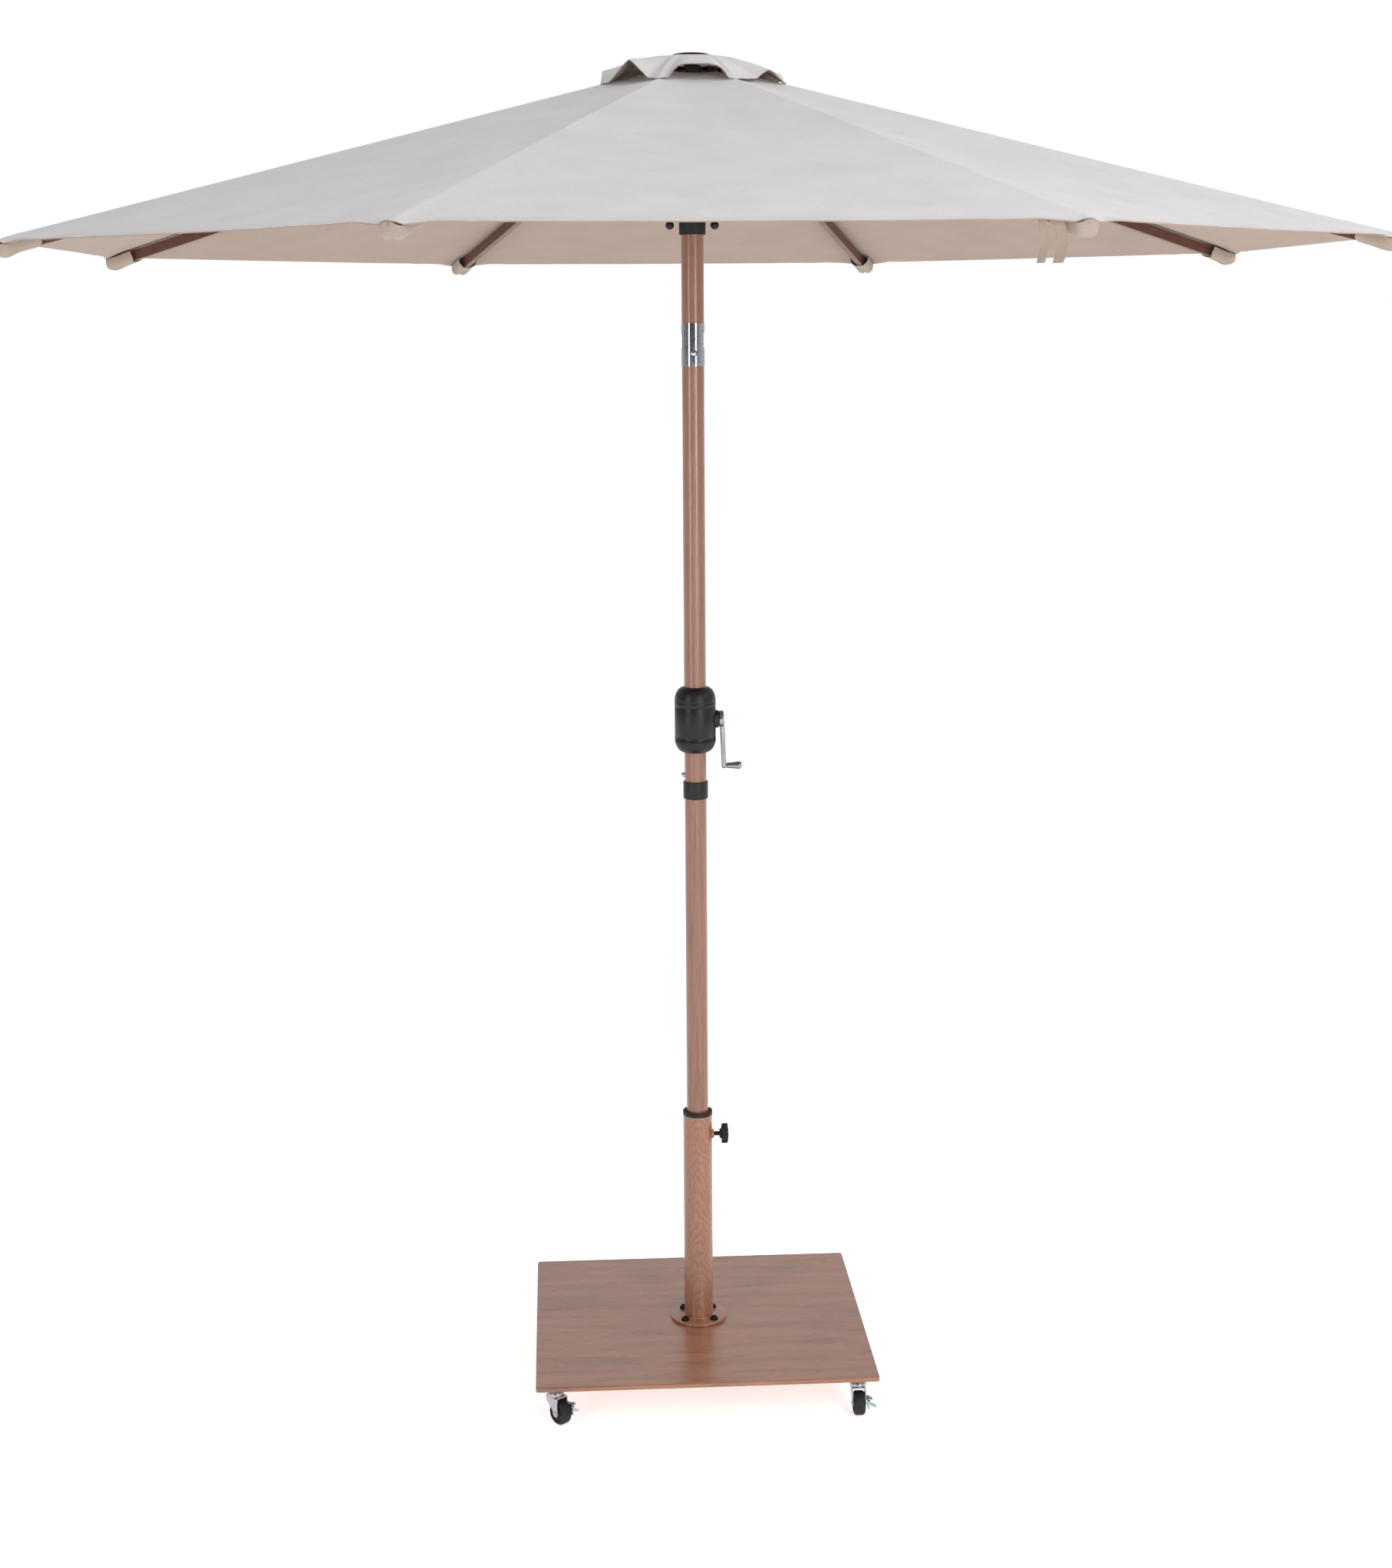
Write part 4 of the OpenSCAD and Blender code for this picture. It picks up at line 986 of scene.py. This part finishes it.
class UMBRELLA_OT_ribs(bpy.types.Operator):
    """Finish the eight ribs and their struts"""

    bl_idname = "umbrella.ribs"
    bl_label = "Ribs and struts"

    def execute(self, context):
        for i in range(1, RIB_COUNT + 1):
            paint("brown_stoved_enamel", "rib_paint", f"rib_{i}", f"strut_{i}")
        return {"FINISHED"}


class UMBRELLA_OT_cords(bpy.types.Operator):
    """Add the lift cords and finish the cords inside the mast"""

    bl_idname = "umbrella.cords"
    bl_label = "Cords"

    def execute(self, context):
        paint("laid_polyester_cord", "cord", "cord_in_mast", "cord_over_pulleys")
        low, high = span("lift_cords")
        side = high[0] - 1
        runs = [
            tube([(x, 0, z) for z in np.arange(high[2], low[2] - 0.1, -2.0)], 0.95, 10, 3, 0.35)
            for x in (-side, side)
        ]
        cords = piece("lift_cords_laid", join(*runs), "laid_polyester_cord", None, ["lift_cords"])
        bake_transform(cords)
        return {"FINISHED"}


# ---- the fabric ----


def bearing_in_gore(theta):
    """How far a bearing is from its nearest rib, from 0 on the rib to 1 in the middle of the gore."""
    return np.abs(theta % GORE - GORE / 2) / (GORE / 2)


def canopy_rim(theta):
    """Radius of the canopy's rim, drawn in between the ribs and blunt at the corners."""
    side = bearing_in_gore(theta)
    scallop = settings("fabric").scallop / MM
    straight = CANOPY_R * math.cos(GORE / 2) / np.cos((1 - side) * GORE / 2)
    across = straight * np.sin(side * GORE / 2)
    return straight - scallop * (1 - (1 - side) ** 2) - np.exp(-(across / 13) ** 2)


def cloth_noise(points, size, seed):
    """Smooth noise at points, from -1 to 1, with features of a size in millimetres."""
    flat = points.reshape(-1, 3)
    values = [noise.noise(Vector(p) / size + Vector((seed, 0, 0))) for p in flat]
    return np.array(values).reshape(points.shape[:-1])


def canopy_surface(radius, theta):
    """The canopy's upper face over a grid of radii and bearings."""
    side = bearing_in_gore(theta)
    fabric = settings("fabric")
    rim = canopy_rim(theta)
    off_rib = radius * np.sin(side * GORE / 2)
    share = np.clip(radius / rim, 0, 1)
    height = PEAK_Z - GORE_FALL * radius * np.cos((1 - side) * GORE / 2)
    between = 1 - (1 - side) ** 2
    height = height - fabric.dip / MM * between * np.sin(math.pi * share) ** 1.2
    # between the ribs the free edge hangs a little lower than a straight line
    height = height - 6 * between * share ** 4
    # the corner bends down beside the rib's end
    from_tip = np.hypot(rim - radius, off_rib * 0.8)
    beside = 1 - np.exp(-(off_rib / 20) ** 2)
    height = height - 11.0 * beside * np.clip(1 - from_tip / 48, 0, 1) ** 2
    # tension folds that fan out from each corner
    fan = np.arctan2(off_rib, np.maximum(rim - radius, 0) + 6)
    reach = np.exp(-from_tip / 85) * np.clip(from_tip / 18, 0, 1)
    height = height + 1.1 * reach * np.cos(fan * 8)
    # the felled seam stands up along each rib
    height = height + 0.7 * np.clip(1.4 - off_rib / 6, 0, 1) * np.clip(from_tip / 30, 0, 1)
    x, y = radius * np.cos(theta), radius * np.sin(theta)
    points = np.stack([x, y, height], axis=-1)
    slack = cloth_noise(points, 150, 3) * 2.2 + cloth_noise(points, 46, 9) * 0.8
    rim_ripple = cloth_noise(points, 28, 17) * 2.4 * np.exp(-(rim - radius) / 26) * np.exp(-off_rib / 120)
    points[..., 2] += slack * between * np.sin(math.pi * np.clip(share, 0, 0.97)) + rim_ripple
    return points


def sector_bearings(index, count):
    """Bearings across the cloth that belongs to one rib, closer together near the rib."""
    spread = np.linspace(-1, 1, count)
    middle = GORE * (index - 0.5)
    return middle + np.sign(spread) * np.abs(spread) ** 1.35 * GORE / 2


def sheet_piece(name, grid, thickness, trim_rows, body):
    """A thin closed sheet with an outer, an inner and a trim finish, the last on the given rows."""
    shape, upper, edge, normals = shell(grid, thickness)
    columns = grid.shape[1] - 1
    outer, inner, trim = range(3)
    spans = [trim if k // columns in trim_rows else outer for k in range(upper)] + [inner] * (edge + upper)
    flat = normals.reshape(-1, 3)
    return piece(
        name, shape, ["canvas_upper_painted_light", "canvas_underside_painted_light", "polyester_canvas_trim"], body,
        (), 180, spans, [tuple(n) for n in flat] + [tuple(-n) for n in flat],
    )


def gather(made):
    """Gives a piece its own copy of its mesh."""
    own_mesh(made)


class UMBRELLA_OT_canopy(bpy.types.Operator):
    """Add the canopy: one cloth in eight sectors, each on its rib, with a pocket under each corner"""

    bl_idname = "umbrella.canopy"
    bl_label = "Canopy"

    def execute(self, context):
        rows, columns = 64, 45
        hem = settings("fabric").hem / MM
        for index in range(1, RIB_COUNT + 1):
            theta = sector_bearings(index, columns)[None, :]
            side = bearing_in_gore(theta)
            inner = VENT_R * math.cos(GORE / 2) / np.cos((1 - side) * GORE / 2)
            along = (1 - (1 - np.linspace(0, 1, rows)) ** 1.7)[:, None]
            rim = canopy_rim(theta)
            radius = inner + (rim - inner) * along
            # one row exactly on the hem's inner line
            hem_row = int(np.argmin(np.abs(rim[0, columns // 2] - hem - radius[:, columns // 2])))
            radius[hem_row] = (rim - hem)[0]
            grid = canopy_surface(radius, np.broadcast_to(theta, radius.shape))
            doubled = (rim - radius) < hem + 0.01
            thickness = np.where(doubled, FABRIC_T * 2, FABRIC_T)
            trimmed = {0, *range(hem_row, rows)}
            made = sheet_piece(f"canopy_sector_{index}", grid, thickness, trimmed, f"rib_{index}")
            if index == 1:
                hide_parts("canopy")
            extras = [self.pocket(index)]
            if index == 7:
                extras.append(self.straps())
            for soft in [made] + extras:
                gather(soft)
        return {"FINISHED"}

    def pocket(self, index):
        """The pocket under one corner, which the rib's end sits in."""
        length = settings("fabric").pocket / MM
        bearing = GORE * (index - 0.5)
        tip_r = CANOPY_R - 5
        rows, columns = 30, 33
        # s runs back along the rib from the tip, beta round the pocket from one side to the other
        fullness = 2.6
        beta = np.linspace(0, math.pi, columns)[None, :]
        run = np.linspace(0, 1, rows)[:, None] ** 1.5
        s = -3 + (length + 3 + 4 * np.sin(3 * beta)) * run
        nose = np.clip((14 - s) / 17, 0, 1)
        width = 18 * (1 - nose ** fullness) ** (1 / fullness) * (1 + 0.12 * np.maximum(0, s - 22) / 44)
        blunt = np.clip((8 - s) / 11, 0, 1)
        depth = 24 * (1 - blunt ** fullness) ** (1 / fullness) - 0.04 * np.maximum(0, s - 12)
        y = width * np.cos(beta)
        radial = tip_r - s * math.cos(RIB_SLOPE)
        # its sides are sewn to the cloth, so it hangs from the cloth's own surface
        grid = canopy_surface(np.hypot(radial, y), bearing + np.arctan2(y, radial))
        ripple = cloth_noise(grid, 13, 0) * 1.1 + cloth_noise(grid, 5, 0) * 0.3
        hang = depth * np.sin(beta) ** 0.75 - ripple * np.sin(beta)
        grid[..., 2] -= 2 * FABRIC_T + 0.2 + 2.3 * np.clip(s / 14, 0, 1) + hang
        shape = shell(grid, np.full((rows, columns), -FABRIC_T))[0]
        return piece(
            f"corner_pocket_{index}", shape, "polyester_canvas_pocket", f"rib_{index}", (),
            50,
        )

    def straps(self):
        """The two loose ends of the tie strap, inside the front rim by the corner."""
        low, high = span("tie_strap")
        middle = axis_of("tie_strap")
        parts = []
        for offset, width, bend in ((2, 12, 8.0), (-19, 9, 6.0)):
            rows, columns = 22, 7
            grid = np.zeros((rows, columns, 3))
            for i in range(rows):
                t = i / (rows - 1)
                for j in range(columns):
                    v = j / (columns - 1) - 0.5
                    curl = 1 + 0.15 * math.sin(2.4 * t)
                    grid[i, j] = (
                        middle[0] + offset + v * width * curl + bend * math.sin(2.7 * t) - 4 * t,
                        middle[1] + 3 * math.sin(4 * t + v) * t + 1.5 * v * math.sin(6 * t),
                        high[2] + 2 - t * (high[2] - low[2]),
                    )
            parts.append(shell(grid, np.full((rows, columns), FABRIC_T))[0])
        return piece(
            "tie_strap_ends", join(*parts), "woven_polyester_tape", "rib_7", ["tie_strap"],
            60,
        )


def cap_lift(theta):
    """How far the vent cap's edge stands off the canopy: each panel's edge is lifted between its corners."""
    # amplitude, middle, half width and fullness for each panel, beginning with the one after the first rib
    panels = [
        (18, 0.50, 0.40, 2), (23, 0.46, 0.40, 2), (20, 0.54, 0.42, 3), (26, 0.50, 0.38, 2),
        (33, 0.47, 0.37, 1.3), (23, 0.52, 0.40, 5), (19, 0.70, 0.28, 1.5), (21, 0.50, 0.40, 2),
    ]
    turn = ((theta - GORE / 2) / GORE) % RIB_COUNT
    lift = np.zeros_like(turn)
    for number, (amplitude, middle, half, fullness) in enumerate(panels):
        across = np.clip(np.abs(turn - number - middle) / half, 0, 1)
        lift = lift + amplitude * (1 - across ** fullness) ** 1.2
    return lift


def cap_surface(radius, theta):
    """The vent cap's upper face: a flat crown, and a skirt whose corners rest on the canopy."""
    side = bearing_in_gore(theta)
    edge_r = CAP_R * math.cos(GORE / 2) / np.cos((1 - side) * GORE / 2)
    share = np.clip(radius / edge_r, 0, 1.1)
    rest = PEAK_Z - GORE_FALL * edge_r * np.cos((1 - side) * GORE / 2) + 2.2
    edge_z = rest + cap_lift(theta)
    fall = np.clip((share - 0.37) / 0.63, 0, 1.2)
    ease = fall ** 1.25
    height = CAP_TOP_Z - 0.2 + (edge_z - CAP_TOP_Z) * ease
    ridge = 2.5 * np.exp(-(radius * side * GORE / 2 / 9) ** 2) * np.sin(math.pi * np.clip(fall, 0, 1))
    x, y = radius * np.cos(theta), radius * np.sin(theta)
    points = np.stack([x, y, height + ridge], axis=-1)
    slack = cloth_noise(points, 40, 31) * 2.4 + cloth_noise(points, 15, 37) * 0.9
    points[..., 2] += slack * np.clip(share - 0.4, 0, 0.6) * 1.6
    return points


class UMBRELLA_OT_vent_cap(bpy.types.Operator):
    """Add the vent cap: a crown fixed in place, and a skirt in eight sectors, each on its rib"""

    bl_idname = "umbrella.vent_cap"
    bl_label = "Vent cap"

    def execute(self, context):
        columns, parting, skirt_rows, hem_row = 41, 104, 22, 17
        for index in range(1, RIB_COUNT + 1):
            theta = sector_bearings(index, columns)[None, :]
            side = bearing_in_gore(theta)
            square = 1 / np.cos((1 - side) * GORE / 2) * math.cos(GORE / 2)
            rings = np.concatenate([[12.4], np.linspace(22, parting, 16)])[:, None]
            radius = rings * np.where(rings > 60, square, 1 + (square - 1) * (rings / 60))
            grid = cap_surface(radius, np.broadcast_to(theta, radius.shape))
            thickness = np.full(radius.shape, FABRIC_T)
            crown = sheet_piece(f"vent_crown_{index}", grid, thickness, (), None)
            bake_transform(crown)
            if index == 1:
                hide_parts("vent_cap")

            rings = np.linspace(parting, CAP_R - 1.5, skirt_rows)[:, None]
            inset = 5 * (1 - (1 - side) ** 2) * np.clip((rings - parting) / (CAP_R - parting), 0, 1)
            radius = rings * square - inset
            grid = cap_surface(radius, np.broadcast_to(theta, radius.shape))
            thickness = np.full(radius.shape, FABRIC_T)
            thickness[hem_row:] = FABRIC_T * 1.8
            skirt = sheet_piece(
                f"vent_skirt_{index}", grid, thickness, range(hem_row, skirt_rows), f"rib_{index}"
            )
            gather(skirt)
        return {"FINISHED"}


# ---- the panel, and the run ----

OPERATORS = [
    UMBRELLA_OT_stage,
    UMBRELLA_OT_plate,
    UMBRELLA_OT_base_tube,
    UMBRELLA_OT_casters,
    UMBRELLA_OT_poles,
    UMBRELLA_OT_crank,
    UMBRELLA_OT_tilt_joint,
    UMBRELLA_OT_hub,
    UMBRELLA_OT_ribs,
    UMBRELLA_OT_cords,
    UMBRELLA_OT_canopy,
    UMBRELLA_OT_vent_cap,
]


class UMBRELLA_PT_panel(bpy.types.Panel):
    """The pieces of the umbrella and their settings"""

    bl_idname = "UMBRELLA_PT_panel"
    bl_label = "Patio umbrella"
    bl_space_type = "VIEW_3D"
    bl_region_type = "UI"
    bl_category = "Umbrella"

    def draw(self, context):
        for group in GROUPS:
            box = self.layout.box()
            box.label(text=group.capitalize())
            for name in GROUPS[group].__annotations__:
                box.prop(settings(group), name)
        for operator in OPERATORS:
            self.layout.operator(operator.bl_idname)


GROUPS = {
    "fabric": UmbrellaFabricSettings,
    "mast": UmbrellaMastSettings,
    "base": UmbrellaBaseSettings,
    "stage": UmbrellaStageSettings,
}


def register():
    for kind in [*GROUPS.values(), *OPERATORS, UMBRELLA_PT_panel]:
        bpy.utils.register_class(kind)
    for group, kind in GROUPS.items():
        setattr(bpy.types.Scene, "umbrella_" + group, PointerProperty(type=kind))


def unregister():
    for group in GROUPS:
        delattr(bpy.types.Scene, "umbrella_" + group)
    for kind in reversed([*GROUPS.values(), *OPERATORS, UMBRELLA_PT_panel]):
        bpy.utils.unregister_class(kind)


def main():
    register()
    for operator in OPERATORS:
        getattr(bpy.ops.umbrella, operator.bl_idname.split(".")[1])()


if __name__ == "__main__":
    main()
